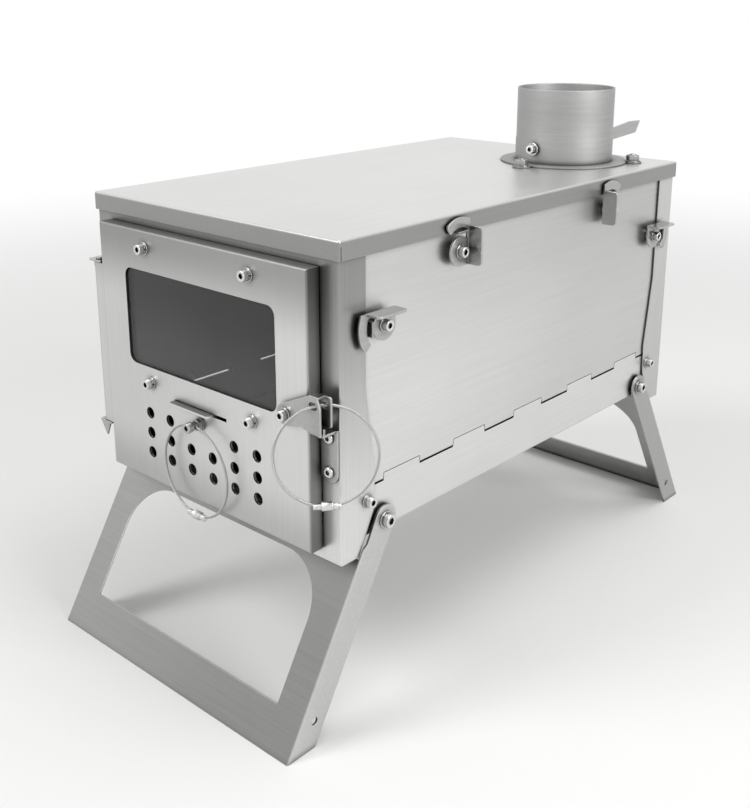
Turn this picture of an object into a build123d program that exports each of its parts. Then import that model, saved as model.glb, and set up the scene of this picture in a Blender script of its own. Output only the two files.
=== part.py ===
from build123d import *
import math
import os

# Folding camping wood stove of bent sheet metal on two fold-out legs.
# X runs across the body, Y from the door (-Y) to the back, Z up from the floor.
# Everything is in millimetres.

# Body
body_w = 180.0            # outside width over the front frame's side flanges
body_l = 306.0            # front face of the front frame to back face of the rear panel
leg_clear = 86.5          # floor to the lower edge of the frames
body_h = 157.0            # lower edge of the frames to the top of the lid
sheet = 1.0               # all folded sheets
lay_gap = 0.2             # between two sheets that lie on each other
edge_gap = 0.35           # between cut edges that face each other
bend_r = 1.6              # outer radius of the visible bends

# Lid and flue
lid_flange = 9.5
lid_overhang = 0.3        # room round the frames inside the lid
flue_side = 55.0          # flue axis from the side of the frames
flue_in = 43.0            # flue axis from the back face
flue_d = 60.0
flue_wall = 1.0
flue_up = 46.0            # height over the lid
flue_down = 3.0           # reach below the lid
flue_base_swell = 0.3     # the foot of the collar is a little fatter than its mouth
flue_base_h = 14.0
ring_d = 79.0
ring_t = 1.0
ear_d = 11.0
ear_pcd = 86.0
ear_turn = -93.0          # angle of the first ear, degrees from +X
damper_z = 10.0           # axle height over the lid
damper_play = 1.5         # disc's rim to the collar's bore
damper_washer_t = 1.0
damper_turn = -4.3        # the axle is set a little off the Y direction, degrees
damper_gap = 0.7          # collar to the washer and to the handle
axle_tail = 2.4           # axle's end inside the handle's root
handle_l = 53.4           # handle outside the collar
handle_low = 3.6          # root's lower edge under the axle
handle_high = 3.0         # root's upper edge over the axle
handle_rise = 8.8         # the handle's end lies this far over the axle
handle_end_w = 12.0       # length of its upper end edge
axle_d = 4.0
running_gap = 0.06

# Tray and finger joint with the side panels
tray_z = 8.3              # tray floor's underside over the frames' lower edge
tray_low = 33.0           # low stretches of the tray's side edge
tray_high = 37.0          # high tabs
finger_pitch = 27.1
finger_count = 9
finger_slot = 1.2         # the open slot along the low stretches
tray_end_h = 24.0
tongue_h = 7.0

# Front frame and rear panel
flange_top_w = 17.2       # width of the side flange up high
flange_wide_w = 23.5      # its widest place
flange_foot_w = 12.0
flange_wide_z = 40.0
flange_narrow_z = 84.0
door_hole_side = 20.0     # side of the frame to the door opening
door_hole_z0 = 14.0
door_hole_z1 = 136.0
return_w = 8.0            # inward returns along top edges

# Side latches
latch_end_y = 26.5        # pivot of the end latches from the end of the body
latch_end_z = 113.7
latch_mid_y = 82.0
tab_gap = 9.3             # pivot to the near face of the catch tab
tab_half = 3.7
tab_reach = 5.0           # catch tab stands out of its flange
hub_r = 7.6
slot_r = 11.9
arm_r = 17.0
arm_tip = 40.0            # degrees the arm runs past the tab
bridge_v = 5.2
finger_v = 7.3            # bend line of the finger tab
finger_out = 9.0
finger_a0 = -7.5
finger_a1 = 12.0
latch_off = 3.4           # back of the latch plate from the side panel

# Screws
screw_d = 3.0
head_d = 5.5
head_h = 3.0
socket_d = 2.9
socket_h = 1.6
washer_d = 7.0
washer_t = 0.5
nut_d = 6.35
nut_t = 2.4
big_screw_d = 4.0
big_head_d = 7.0
big_head_h = 4.0
big_nut_d = 8.0
hole_gap = 0.1            # radial room round a screw
foot_screw_y = 18.0       # lower frame screws from the ends
foot_screw_z = 27.5

# Legs
leg_pivot_y = 29.5        # from the ends
leg_pivot_z = 14.0
leg_lean = 30.5           # degrees from upright
leg_sheet = 1.2
leg_off = 0.4             # leg flange clear of the frame flange
leg_plate_n = 7.0         # plate's inner face ahead of the pivot
leg_back_n = 7.5          # flange's free edge behind the pivot
leg_ear_r = 7.5
leg_plate_top = 22.0      # plate starts this far down from the pivot
leg_bar_top = 9.0
leg_side_w = 18.0
leg_bottom_w = 22.0
leg_corner_r = 27.0
leg_hole_d = 4.2
leg_hole_up = 12.5

# Door
door_side = 12.0          # side of the frame to the door's edge
door_z0 = 5.5
door_z1 = 143.5
door_gap = 0.5            # rim of the door pan to the frame
door_depth = 8.3          # frame face to the door's outer face
window_side = 21.0        # door's edge to the window
window_z0 = 70.5
window_z1 = 122.5
window_r = 5.0
glass_t = 2.5
glass_lap = 4.0
vent_pitch_x = 16.8
vent_pitch_z = 11.2
vent_d = 6.4
vent_columns = 6
vent_rows = 3
vent_z = 44.6             # upper row
slot_half = 20.3
slot_z = 57.0
slot_h = 1.9
lip_w = 31.0
lip_out = 4.4
slider_travel = 8.4
door_screw_side = 38.5    # door's edge to the window screws
door_screw_z0 = 62.0
door_screw_z1 = 134.5
hinge_out = 6.5           # hinge axis outside the door's left edge
hinge_y = 4.6             # hinge axis ahead of the frame face
hinge_pin_d = 3.0
hinge_barrel_d = 6.0
hinge_z0 = 29.0           # barrel's lower end
hinge_z1 = 120.0          # barrel's upper end
hinge_ear_out = 0.5       # ears stand past the frame's side
hinge_lip = 5.0           # turned-down end of the upper ear
hinge_gusset = 8.0        # pointed lip of the lower ear
pull_z = 50.0
pull_out = 4.7            # ring hole ahead of the door face

# Door latch, catch and rings
latch_side = 4.5          # edge of the glass to the latch pivot
latch_z = 73.5
arm_off = 2.0
catch_side = 6.0          # side of the frame to the catch's middle
catch_w = 10.5
catch_t = 1.2
catch_z0 = 41.5
catch_screw_z = 47.0
catch_screw_pitch = 17.0
shelf_z = 67.4
lip_top_z = 71.6
lip_y = 9.3               # outer face of the catch lip ahead of the frame face
hook_in = 1.4             # the ear reaches from here inside the catch's middle
hook_out = 7.4            # to here outside it
hook_z0 = 72.3
hook_z1 = 87.0
drop_z = 69.0             # lower edge of the arm's wide end
ear_y = 7.3               # outer face of the latch ear ahead of the frame face
latch_ring_out = 3.5      # ring's hole outside the catch's middle
latch_ring_z = 82.5
ring_r = 24.0
ring_tilt = 4.0           # the ring leans out over the corner
wire_d = 1.4
pull_ring_r = 24.5
ring_turn = 48.0          # plane of the latch ring, degrees from the door
barrel_d = 3.2
barrel_l = 13.0
grip_d = 4.4
grip_l = 5.2

# Worked out from the values above
half_w = body_w / 2
half_l = body_l / 2
flue_x = half_w - flue_side
flue_y = half_l - flue_in
damper_d = flue_d - 2 * (flue_wall + damper_play)
door_hole_w = body_w - 2 * door_hole_side
door_w = body_w - 2 * door_side
door_screw_x = door_w / 2 - door_screw_side
window_w = door_w - 2 * window_side
glass_x = window_w / 2 + glass_lap          # side edge of the glass
latch_x = glass_x + latch_side
catch_x = half_w - catch_side
hook_x0 = catch_x - hook_in
hook_x1 = catch_x + hook_out
latch_ring_x = catch_x + latch_ring_out
z_base = leg_clear
z_top = leg_clear + body_h
panel_x = half_w - sheet - lay_gap          # outer face of the side panels and tray
lid_x = half_w + lid_overhang + sheet       # outer face of the lid's flange
lid_y = half_l + lid_overhang + sheet
lid_under = z_top - sheet
lid_edge = z_top - lid_flange
front_y = -half_l
door_y = front_y - door_depth
latch_back = panel_x + latch_off
latch_mid_z = lid_edge - tab_gap
leg_in = half_w + leg_off
leg_out = leg_in + leg_sheet
lean = math.radians(leg_lean)

parts = {}


def block(x0, x1, y0, y1, z0, z1):
    """A plain box between two corners."""
    size = Box(abs(x1 - x0), abs(y1 - y0), abs(z1 - z0))
    return Pos((x0 + x1) / 2, (y0 + y1) / 2, (z0 + z1) / 2) * size


def face_x(x):
    """Plane square to X: local x is the model's Y, local y its Z."""
    return Plane(origin=(x, 0, 0), x_dir=(0, 1, 0), z_dir=(1, 0, 0))


def face_y(y):
    """Plane square to Y that looks forward: local x is X, local y is Z."""
    return Plane(origin=(0, y, 0), x_dir=(1, 0, 0), z_dir=(0, -1, 0))


def rod(start, direction, d, length):
    """A cylinder of diameter d from a point along a direction."""
    plane = Plane(origin=start, z_dir=direction)
    return extrude(plane * Circle(d / 2), amount=length)


def ring(start, direction, d_out, d_in, length):
    """A washer or sleeve."""
    plane = Plane(origin=start, z_dir=direction)
    return extrude(plane * (Circle(d_out / 2) - Circle(d_in / 2)), amount=length)


def hexagon(start, direction, across_corners, length):
    """A six-sided prism."""
    plane = Plane(origin=start, z_dir=direction)
    return extrude(plane * RegularPolygon(across_corners / 2, 6), amount=length)


def mirror_x(shape):
    return mirror(shape, about=Plane.YZ)


def mirror_y(shape):
    return mirror(shape, about=Plane.XZ)


def step(point, direction, distance):
    """The point a distance along an axis direction."""
    return tuple(p + distance * d for p, d in zip(point, direction))


def socket_screw(seat, out, shank, d=screw_d, head=head_d, high=head_h):
    """A socket head screw: its head stands on the seat, its shank runs the other way."""
    inward = tuple(-v for v in out)
    body = rod(seat, out, head, high) + rod(seat, inward, d, shank)
    top = step(seat, out, high)
    body = body - hexagon(top, inward, socket_d * head / head_d, socket_h)
    rim = body.edges().filter_by(GeomType.CIRCLE).filter_by(
        lambda e: abs(e.radius - head / 2) < 1e-3
        and (Vector(*top) - e.arc_center).length < 1e-3
    )
    return fillet(rim, 0.5)


def nut(seat, out, d=screw_d, across=nut_d, thick=nut_t):
    """A hexagon nut that grips its screw, standing on the seat."""
    return hexagon(seat, out, across, thick) - rod(seat, out, d, thick)


def save(name, *solids):
    """Keep one or more solids under a node's name."""
    parts[name] = solids[0] if len(solids) == 1 else Compound(children=list(solids))


# Side flange outline shared by the front frame and the rear panel
def flange_outline():
    """Side flange seen from +X at the front end; its bend is at local x = front_y."""
    y0 = front_y
    z0 = z_base
    return Polyline(
        (y0, z0),
        (y0 + flange_foot_w, z0),
        (y0 + flange_wide_w - 1.0, z0 + 21.0),
        (y0 + flange_wide_w, z0 + flange_wide_z),
        (y0 + flange_top_w, z0 + flange_narrow_z),
        (y0 + flange_top_w, lid_under),
        (y0, lid_under),
        close=True,
    )


def end_flange():
    """One side flange of the front frame, with its lanced catch tab and screw hole."""
    outline = make_face(flange_outline())
    flange = extrude(face_x(half_w - sheet) * outline, amount=sheet)
    pivot_y = front_y + latch_end_y
    pivot_z = z_base + latch_end_z
    tab = block(half_w - sheet, half_w + tab_reach, pivot_y - tab_gap - sheet, pivot_y - tab_gap,
                pivot_z - tab_half, pivot_z + tab_half)
    hole = rod((half_w - 2 * sheet, front_y + foot_screw_y, z_base + foot_screw_z), (1, 0, 0),
               screw_d + 2 * hole_gap, 3 * sheet)
    return flange + tab - hole


def end_wall():
    """Plate with its two side flanges and its top return, at the front end."""
    plate = block(-half_w + sheet, half_w - sheet, front_y, front_y + sheet, z_base, lid_under)
    side = end_flange()
    top = block(-panel_x + 2 * sheet, panel_x - 2 * sheet, front_y, front_y + return_w,
                lid_under - sheet, lid_under)
    wall = plate + side + mirror_x(side) + top
    bends = wall.edges().filter_by(Axis.Z).filter_by(
        lambda e: abs(abs(e.center().X) - half_w) < 1e-3 and abs(e.center().Y - front_y) < 1e-3
    )
    return fillet(bends, bend_r * 0.6)


def front_frame():
    wall = end_wall()
    z0 = z_base + door_hole_z0
    z1 = z_base + door_hole_z1
    opening = extrude(face_y(front_y + 2 * sheet) * Pos(0, (z0 + z1) / 2)
                      * RectangleRounded(door_hole_w, z1 - z0, 6.0), amount=3 * sheet)
    wall = wall - opening
    for i in range(2):
        seat = (catch_x, front_y + 2 * sheet, z_base + catch_screw_z + i * catch_screw_pitch)
        wall = wall - rod(seat, (0, -1, 0), screw_d + 2 * hole_gap, 3 * sheet)
    return wall


def finger_edges():
    """Y values where the finger joint steps, from front to back."""
    start = -finger_pitch * finger_count / 2
    return [start + i * finger_pitch for i in range(finger_count + 1)]


def tray_side_outline():
    """The tray's side flange, seen from +X: high tabs and low stretches in turn."""
    y0 = front_y + sheet + edge_gap
    z0 = z_base + tray_z
    low = z_base + tray_low
    high = z_base + tray_high
    points = [(y0, z0), (y0, low)]
    for i, y in enumerate(finger_edges()):
        if i % 2 == 0:
            points += [(y, low), (y + edge_gap, high)]
        else:
            points += [(y - edge_gap, high), (y, low)]
    points += [(-y0, low), (-y0, z0)]
    return Polyline(*points, close=True)


def leg_pivot_points():
    """Leg pivots on the right side: front, then rear."""
    z = z_base + leg_pivot_z
    return [(panel_x, s * (half_l - leg_pivot_y), z) for s in (-1, 1)]


def foot_screw_points():
    z = z_base + foot_screw_z
    return [(half_w, s * (half_l - foot_screw_y), z) for s in (-1, 1)]


def base_tray():
    y0 = front_y + sheet + edge_gap
    z0 = z_base + tray_z
    side = extrude(face_x(panel_x - sheet) * make_face(tray_side_outline()), amount=sheet)
    for x, y, z in leg_pivot_points() + foot_screw_points():
        wide = big_screw_d if z < z_base + foot_screw_z - 1 else screw_d
        side = side - rod((panel_x - 2 * sheet, y, z), (1, 0, 0), wide + 2 * hole_gap, 3 * sheet)
    floor = block(-panel_x, panel_x, y0, -y0, z0, z0 + sheet)
    end = block(-panel_x, panel_x, y0, y0 + sheet, z0, z_base + tray_end_h)
    tray = floor + side + mirror_x(side) + end + mirror_y(end)
    long_edges = tray.edges().filter_by(Axis.Y).filter_by(
        lambda e: abs(abs(e.center().X) - panel_x) < 1e-3 and abs(e.center().Z - z0) < 1e-3
    )
    return fillet(long_edges, bend_r * 0.6)


def latch_places():
    """Pivot Y and Z, the way from pivot to catch, and the way to the finger tab."""
    end_y = half_l - latch_end_y
    mid_y = half_l - latch_mid_y
    end_z = z_base + latch_end_z
    return {
        "front_end": (-end_y, end_z, (-1, 0), (0, 1)),
        "front_top": (-mid_y, latch_mid_z, (0, 1), (1, 0)),
        "rear_top": (mid_y, latch_mid_z, (0, 1), (-1, 0)),
        "rear_end": (end_y, end_z, (1, 0), (0, 1)),
    }


def right_side_panel():
    """Side wall, its top return and the tongues that hook behind the tray's high tabs."""
    y0 = front_y + sheet + edge_gap
    low = z_base + tray_low + finger_slot
    high = z_base + tray_high + edge_gap
    points = [(y0, low)]
    for i, y in enumerate(finger_edges()):
        if i % 2 == 0:
            points += [(y - edge_gap, low), (y, high)]
        else:
            points += [(y, high), (y + edge_gap, low)]
    points += [(-y0, low), (-y0, lid_under), (y0, lid_under)]
    wall = extrude(face_x(panel_x - sheet) * make_face(Polyline(*points, close=True)), amount=sheet)
    wall = wall + block(panel_x - return_w, panel_x, y0 + return_w, -y0 - return_w,
                        lid_under - sheet, lid_under)
    edges = finger_edges()
    inner = panel_x - sheet - lay_gap / 2
    for i in range(0, finger_count, 2):
        a = edges[i] + 3.0
        b = edges[i + 1] - 3.0
        joggle = block(inner - sheet, panel_x - sheet + 0.01, a, b, high + 0.4, high + 2.6)
        tongue = block(inner - sheet, inner, a, b, high - tongue_h, high + 2.6)
        wall = wall + joggle + tongue
    for y, z, _, _ in latch_places().values():
        wall = wall - rod((panel_x - 2 * sheet, y, z), (1, 0, 0), screw_d + 2 * hole_gap, 3 * sheet)
    return wall


def lid():
    outer = block(-lid_x, lid_x, -lid_y, lid_y, lid_edge, z_top)
    rims = outer.edges().filter_by(Axis.Z) + outer.faces().sort_by(Axis.Z)[-1].edges()
    outer = fillet(rims, bend_r * 0.8)
    inner = block(-lid_x + sheet, lid_x - sheet, -lid_y + sheet, lid_y - sheet, lid_edge - 1, lid_under)
    shell = outer - inner
    slit = 0.5
    for sx in (-1, 1):
        for sy in (-1, 1):
            # the folded corners of the pan stay open by a thin slit
            x = sx * (lid_x - sheet / 2)
            y = sy * (lid_y - sheet - slit)
            shell = shell - block(x - sheet, x + sheet, y - slit / 2, y + slit / 2,
                                  lid_edge - 1, lid_under - 2.0)
    for y, z, way, _ in latch_places().values():
        if way == (0, 1):
            tab = block(lid_x - sheet, half_w + tab_reach, y - tab_half, y + tab_half,
                        lid_edge, lid_edge + sheet)
            shell = shell + tab + mirror_x(tab)
    bore = flue_d + 2 * flue_base_swell + 2 * lay_gap
    shell = shell - rod((flue_x, flue_y, lid_under - 1), (0, 0, 1), bore, 3 * sheet)
    for x, y in ear_points():
        shell = shell - rod((x, y, lid_under - 1), (0, 0, 1), big_screw_d + 2 * hole_gap, 3 * sheet)
    return shell


def ear_points():
    points = []
    for i in range(3):
        a = math.radians(ear_turn + 120 * i)
        points.append((flue_x + ear_pcd / 2 * math.cos(a), flue_y + ear_pcd / 2 * math.sin(a)))
    return points


def flue_collar():
    """Short tube; its foot is swelled a little where it meets the ring."""
    foot_r = flue_d / 2 + flue_base_swell
    mouth_r = flue_d / 2
    outline = Polyline(
        (mouth_r - flue_wall, z_top + flue_up),
        (mouth_r, z_top + flue_up),
        (mouth_r, z_top + flue_base_h + 1.5),
        (foot_r, z_top + flue_base_h),
        (foot_r, lid_under - flue_down),
        (mouth_r - flue_wall, lid_under - flue_down),
        close=True,
    )
    tube = Pos(flue_x, flue_y, 0) * revolve(Plane.XZ * make_face(outline), Axis.Z)
    axle = rod((flue_x, flue_y - flue_d, z_top + damper_z), (0, 1, 0),
               axle_d + 2 * running_gap, 2 * flue_d)
    return tube - turned(axle)


def flue_ring():
    """Flat ring with three ears under the nuts."""
    plane = Plane(origin=(0, 0, z_top))
    shape = Pos(flue_x, flue_y) * Circle(ring_d / 2)
    for x, y in ear_points():
        shape = shape + Pos(x, y) * Circle(ear_d / 2)
        shape = shape - Pos(x, y) * Circle(big_screw_d / 2 + hole_gap)
    shape = shape - Pos(flue_x, flue_y) * Circle(flue_d / 2 + flue_base_swell + running_gap)
    return extrude(plane * shape, amount=ring_t)


def flue_bolts():
    """Three bolts: hexagon heads over the ring, nuts under the lid."""
    solids = []
    for x, y in ear_points():
        seat = (x, y, z_top + ring_t)
        bolt = ring(seat, (0, 0, 1), 9.0, big_screw_d, 0.8)
        head = hexagon(step(seat, (0, 0, 1), 0.8), (0, 0, 1), big_nut_d, 4.0)
        shank = rod(step(seat, (0, 0, 1), 0.8), (0, 0, -1), big_screw_d, 0.8 + ring_t + sheet + 4.5)
        under = (x, y, lid_under)
        solids += [bolt + head + shank, nut(under, (0, 0, -1), big_screw_d, big_nut_d, 3.2)]
    return solids


# The damper turns on a rod along Y; at rest its disc stands upright, fully open
def damper():
    z = z_top + damper_z
    outer = flue_d / 2 + flue_base_swell
    disc = extrude(Plane(origin=(flue_x - sheet / 2, flue_y, z), z_dir=(1, 0, 0))
                   * Circle(damper_d / 2), amount=sheet)
    relief = axle_d + 0.1
    disc = disc - rod((flue_x, flue_y - damper_d, z), (0, 1, 0), relief, 2 * damper_d)
    front_end = outer + damper_gap + damper_washer_t
    axle = rod((flue_x, flue_y - front_end, z), (0, 1, 0), axle_d, front_end + outer + axle_tail)
    slot_keep = block(flue_x - sheet / 2, flue_x + sheet / 2, flue_y - damper_d / 2,
                      flue_y + damper_d / 2, z - axle_d, z + axle_d)
    axle = axle - slot_keep
    plate = disc + (slot_keep & extrude(Plane(origin=(flue_x - sheet / 2, flue_y, z),
                                              z_dir=(1, 0, 0)) * Circle(damper_d / 2), amount=sheet))
    screw_seat = (flue_x, flue_y - front_end, z)
    screw = ring((flue_x, flue_y - outer - damper_gap, z), (0, -1, 0), 2 * axle_d, axle_d, damper_washer_t)
    head = socket_screw(screw_seat, (0, -1, 0), 0.4) - axle
    root_y = flue_y + outer + damper_gap
    end_y = root_y + handle_l
    handle_face = make_face(Polyline(
        (root_y, z - handle_low),
        (end_y - 4.5, z + 1.0),
        (end_y, z + handle_rise),
        (end_y - handle_end_w, z + handle_rise + 0.2),
        (root_y, z + handle_high),
        close=True,
    ))
    handle = extrude(face_x(flue_x - sheet / 2) * handle_face, amount=sheet)
    axle = axle - block(flue_x - sheet / 2, flue_x + sheet / 2, root_y, root_y + 6, z - 4, z + 6)
    return [turned(solid) for solid in (plate, axle, screw, head, handle)]


def turned(solid):
    """Turns a damper piece about the flue's axis."""
    return Pos(flue_x, flue_y, 0) * Rot(0, 0, damper_turn) * Pos(-flue_x, -flue_y, 0) * solid


def latch_plate():
    """Side latch at its own origin: local x towards the catch, local y to the finger tab."""
    hub = Circle(hub_r)
    sweep_ring = Circle(arm_r) - Circle(slot_r)
    a = math.radians(-arm_tip)
    far = 2 * arm_r
    below = make_face(Polyline((0, 0), (far * math.cos(a), far * math.sin(a)), (far, -far), (-far, -far),
                               (-far, far), (0, far), close=True))
    arm = sweep_ring - below
    bridge = Pos((finger_a1 + finger_a0) / 2 + 1.0, (bridge_v + finger_v) / 2) * Rectangle(
        finger_a1 - finger_a0 + 2.0, finger_v - bridge_v)
    web = Pos(finger_a0 / 2, finger_v / 2) * Rectangle(-finger_a0, finger_v)
    trim = Pos(0, finger_v + far / 2) * Rectangle(2 * far, far)
    shape = (hub + arm + bridge + web) - trim - Circle(screw_d / 2 + hole_gap)
    plate = extrude(shape, amount=sheet)
    finger = block(finger_a0, finger_a1, finger_v - sheet, finger_v, 0, finger_out)
    top = finger.edges().filter_by(Axis.Y).sort_by(Axis.Z)[-2:]
    finger = fillet(top, 2.2)
    latch = plate + finger
    tip = latch.edges().filter_by(Axis.Z).filter_by(
        lambda e: abs(e.center().Y - arm_r * math.sin(a)) < 0.4 and e.center().X > 9
    )
    return fillet(tip, 1.6)


def side_latch(place, side):
    """A latch set on the right (side 1) or the left (side -1)."""
    y, z, way, up = place
    flat = latch_plate()
    # the outline is turned over where the catch lies on the other hand
    x_dir = Vector(0, way[0], way[1])
    y_dir = Vector(0, up[0], up[1])
    if x_dir.cross(y_dir).X < 0:
        flat = mirror(flat, about=Plane.XZ)
        y_dir = -y_dir
    plane = Plane(origin=(latch_back, y, z), x_dir=x_dir, z_dir=x_dir.cross(y_dir))
    placed = plane.location * flat
    return placed if side > 0 else mirror_x(placed)


def side_latch_screws(side):
    """Spacer, washer, screw and nut of each side latch pivot on one side."""
    solids = []
    for y, z, _, _ in latch_places().values():
        base = (panel_x, y, z)
        spacer = ring(base, (1, 0, 0), washer_d, screw_d, latch_off - 0.05)
        seat = step(base, (1, 0, 0), latch_off + sheet + 0.05)
        screw = socket_screw(step(seat, (1, 0, 0), washer_t), (1, 0, 0), 0.5 + sheet + latch_off + 4.8)
        screw = screw + ring(seat, (1, 0, 0), washer_d, screw_d, washer_t)
        inner = (panel_x - sheet, y, z)
        solids += [spacer, screw, nut(inner, (-1, 0, 0))]
    return solids if side > 0 else [mirror_x(s) for s in solids]


def frame_screws():
    """Lower screws through the frames' flanges and the tray, both sides."""
    solids = []
    for x, y, z in foot_screw_points():
        seat = (x, y, z)
        screw = socket_screw(step(seat, (1, 0, 0), 1.2), (1, 0, 0), 1.2 + 2 * sheet + lay_gap + 3.5)
        screw = screw + ring(seat, (1, 0, 0), washer_d, screw_d, 1.2)
        inner = nut((panel_x - sheet, y, z), (-1, 0, 0))
        solids += [screw, inner, mirror_x(screw), mirror_x(inner)]
    return solids


def leg_screws():
    """Leg pivots: spacer washer, screw with washer, and nut inside the tray."""
    solids = []
    for x, y, z in leg_pivot_points():
        base = (x, y, z)
        reach = leg_out - panel_x
        spacer = ring(base, (1, 0, 0), 9.0, big_screw_d, leg_in - panel_x - 0.05)
        seat = step(base, (1, 0, 0), reach + 0.05)
        screw = socket_screw(step(seat, (1, 0, 0), 0.6), (1, 0, 0), reach + 0.65 + sheet + 3.8,
                             big_screw_d, big_head_d, big_head_h * 0.8)
        screw = screw + ring(seat, (1, 0, 0), 9.0, big_screw_d, 0.6)
        inner = nut((x - sheet, y, z), (-1, 0, 0), big_screw_d, big_nut_d, 3.2)
        for solid in (spacer, screw, inner):
            solids += [solid, mirror_x(solid)]
    return solids


def front_leg():
    """Folded sheet leg: a plate with a big window and two side flanges with pivot ears.

    Drawn in the leg's own plane: local u runs down the leg from the pivot, n points
    back from the plate. Then it is leaned forward and set on its pivot.
    """
    pivot_z = z_base + leg_pivot_z
    sin_l = math.sin(lean)
    cos_l = math.cos(lean)

    def floor_u(n):
        return (pivot_z - sin_l * n) / cos_l

    front_n = -leg_plate_n - leg_sheet
    u_front = floor_u(front_n)
    u_back = floor_u(leg_back_n)
    # flange outline in (n, u)
    notch_u = 14.0
    flange = make_face(Polyline(
        (front_n, notch_u + 3.0),
        (front_n, u_front),
        (leg_back_n, u_back),
        (leg_back_n, 0),
        (-leg_ear_r, 0),
        (-leg_ear_r + 0.6, notch_u),
        close=True,
    ))
    flange = flange + Circle(leg_ear_r)
    hole_u = u_back - leg_hole_up
    flange = flange - Pos(0, hole_u) * Circle(leg_hole_d / 2) - Circle(big_screw_d / 2 + hole_gap)
    # local frame: x is n, y is u, z is across the stove
    side = Pos(0, 0, leg_in) * extrude(flange, amount=leg_sheet)
    other = Pos(0, 0, -leg_out) * extrude(flange, amount=leg_sheet)
    plate = block(front_n, -leg_plate_n, leg_plate_top, u_front + 4, -leg_out, leg_out)
    win_top = leg_plate_top + leg_bar_top
    win_end = u_front - leg_bottom_w
    win = Pos(0, (win_top + win_end) / 2) * Rectangle(2 * (leg_out - leg_side_w), win_end - win_top)
    corners = win.vertices().sort_by(Axis.Y)[:2]
    win = fillet(corners, leg_corner_r)
    cutter = extrude(Plane(origin=(front_n - 1, 0, 0), x_dir=(0, 0, -1), z_dir=(1, 0, 0)) * win,
                     amount=leg_sheet + 2)
    plate = plate - cutter
    leg = side + other + plate
    # turn so that u points down and forward, n back and down
    plane = Plane(origin=(0, -half_l + leg_pivot_y, pivot_z),
                  x_dir=(0, cos_l, -sin_l), z_dir=(1, 0, 0))
    # the plane's y is z_dir x x_dir = up the leg, so the drawing is flipped first
    leg = mirror(leg, about=Plane.XZ)
    leg = plane.location * leg
    leg = leg - block(-body_w, body_w, -body_l, body_l, -leg_clear, 0)
    bends = leg.edges().filter_by(
        lambda e: e.geom_type == GeomType.LINE and e.length > 0.7 * leg_clear
        and abs(abs(e.center().X) - leg_out) < 1e-3
        and abs(e.tangent_at(0.5).X) < 1e-3
    )
    outer = bends.sort_by(Axis.Y)[:2]
    return fillet(outer, bend_r * 0.6)


# Door
def vent_points():
    """Centres of the vent holes: six columns, three rows, the middle of the upper row left out."""
    points = []
    for c in range(vent_columns):
        x = (c - (vent_columns - 1) / 2) * vent_pitch_x
        for r in range(vent_rows):
            if r == 0 and abs(x) < vent_pitch_x:
                continue
            points.append((x, z_base + vent_z - r * vent_pitch_z))
    return points


def door_shell():
    z0 = z_base + door_z0
    z1 = z_base + door_z1
    rim_y = front_y - door_gap
    w = door_w / 2
    outer = block(-w, w, door_y, rim_y, z0, z1)
    outer = fillet(outer.edges().filter_by(
        lambda e: abs(e.center().Y - door_y) < 1e-3), bend_r * 0.6)
    pan = outer - block(-w + sheet, w - sheet, door_y + sheet, rim_y + 1, z0 + sheet, z1 - sheet)
    # a strip of the left flange is rolled to the hinge barrel
    x, y = hinge_axis()
    z2 = z_base + hinge_z0
    length = hinge_z1 - hinge_z0
    front = y - hinge_barrel_d / 2
    strip = block(x, -w + sheet, front, front + sheet, z2, z2 + length)
    pan = pan + strip + rod((x, y, z2), (0, 0, 1), hinge_barrel_d, length)
    pan = pan - rod((x, y, z2 - 1), (0, 0, 1), hinge_pin_d + 2 * running_gap, length + 2)
    mid_z = z_base + (window_z0 + window_z1) / 2
    cut = Pos(0, mid_z) * RectangleRounded(window_w, window_z1 - window_z0, window_r)
    for x, z in vent_points():
        cut = cut + Pos(x, z) * Circle(vent_d / 2)
    cut = cut + Pos(0, z_base + slot_z) * Rectangle(2 * slot_half, slot_h)
    for x, z in door_screw_points():
        cut = cut + Pos(x, z) * Circle(screw_d / 2 + hole_gap)
    cut = cut + Pos(0, z_base + pull_z) * Circle(screw_d / 2 + hole_gap)
    cut = cut + Pos(latch_x, z_base + latch_z) * Circle(screw_d / 2 + hole_gap)
    return pan - extrude(face_y(door_y + 2 * sheet) * cut, amount=3 * sheet)


def hinge_axis():
    """X and Y of the hinge pin, left of the door."""
    return -door_w / 2 - hinge_out, front_y - hinge_y


def door_screw_points():
    return [(sx * door_screw_x, z_base + z) for sx in (-1, 1) for z in (door_screw_z0, door_screw_z1)]


def hinge_pin():
    """One long pin with a flat head on the upper ear and a peened end under the lower one."""
    x, y = hinge_axis()
    low = z_base + hinge_z0 - edge_gap - sheet
    top = z_base + hinge_z1 + edge_gap + sheet
    pin = rod((x, y, low), (0, 0, 1), hinge_pin_d, top - low)
    pin = pin + rod((x, y, top), (0, 0, 1), hinge_pin_d + 1.6, 1.2)
    return pin + rod((x, y, low), (0, 0, -1), hinge_pin_d + 1.2, 0.8)


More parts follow.
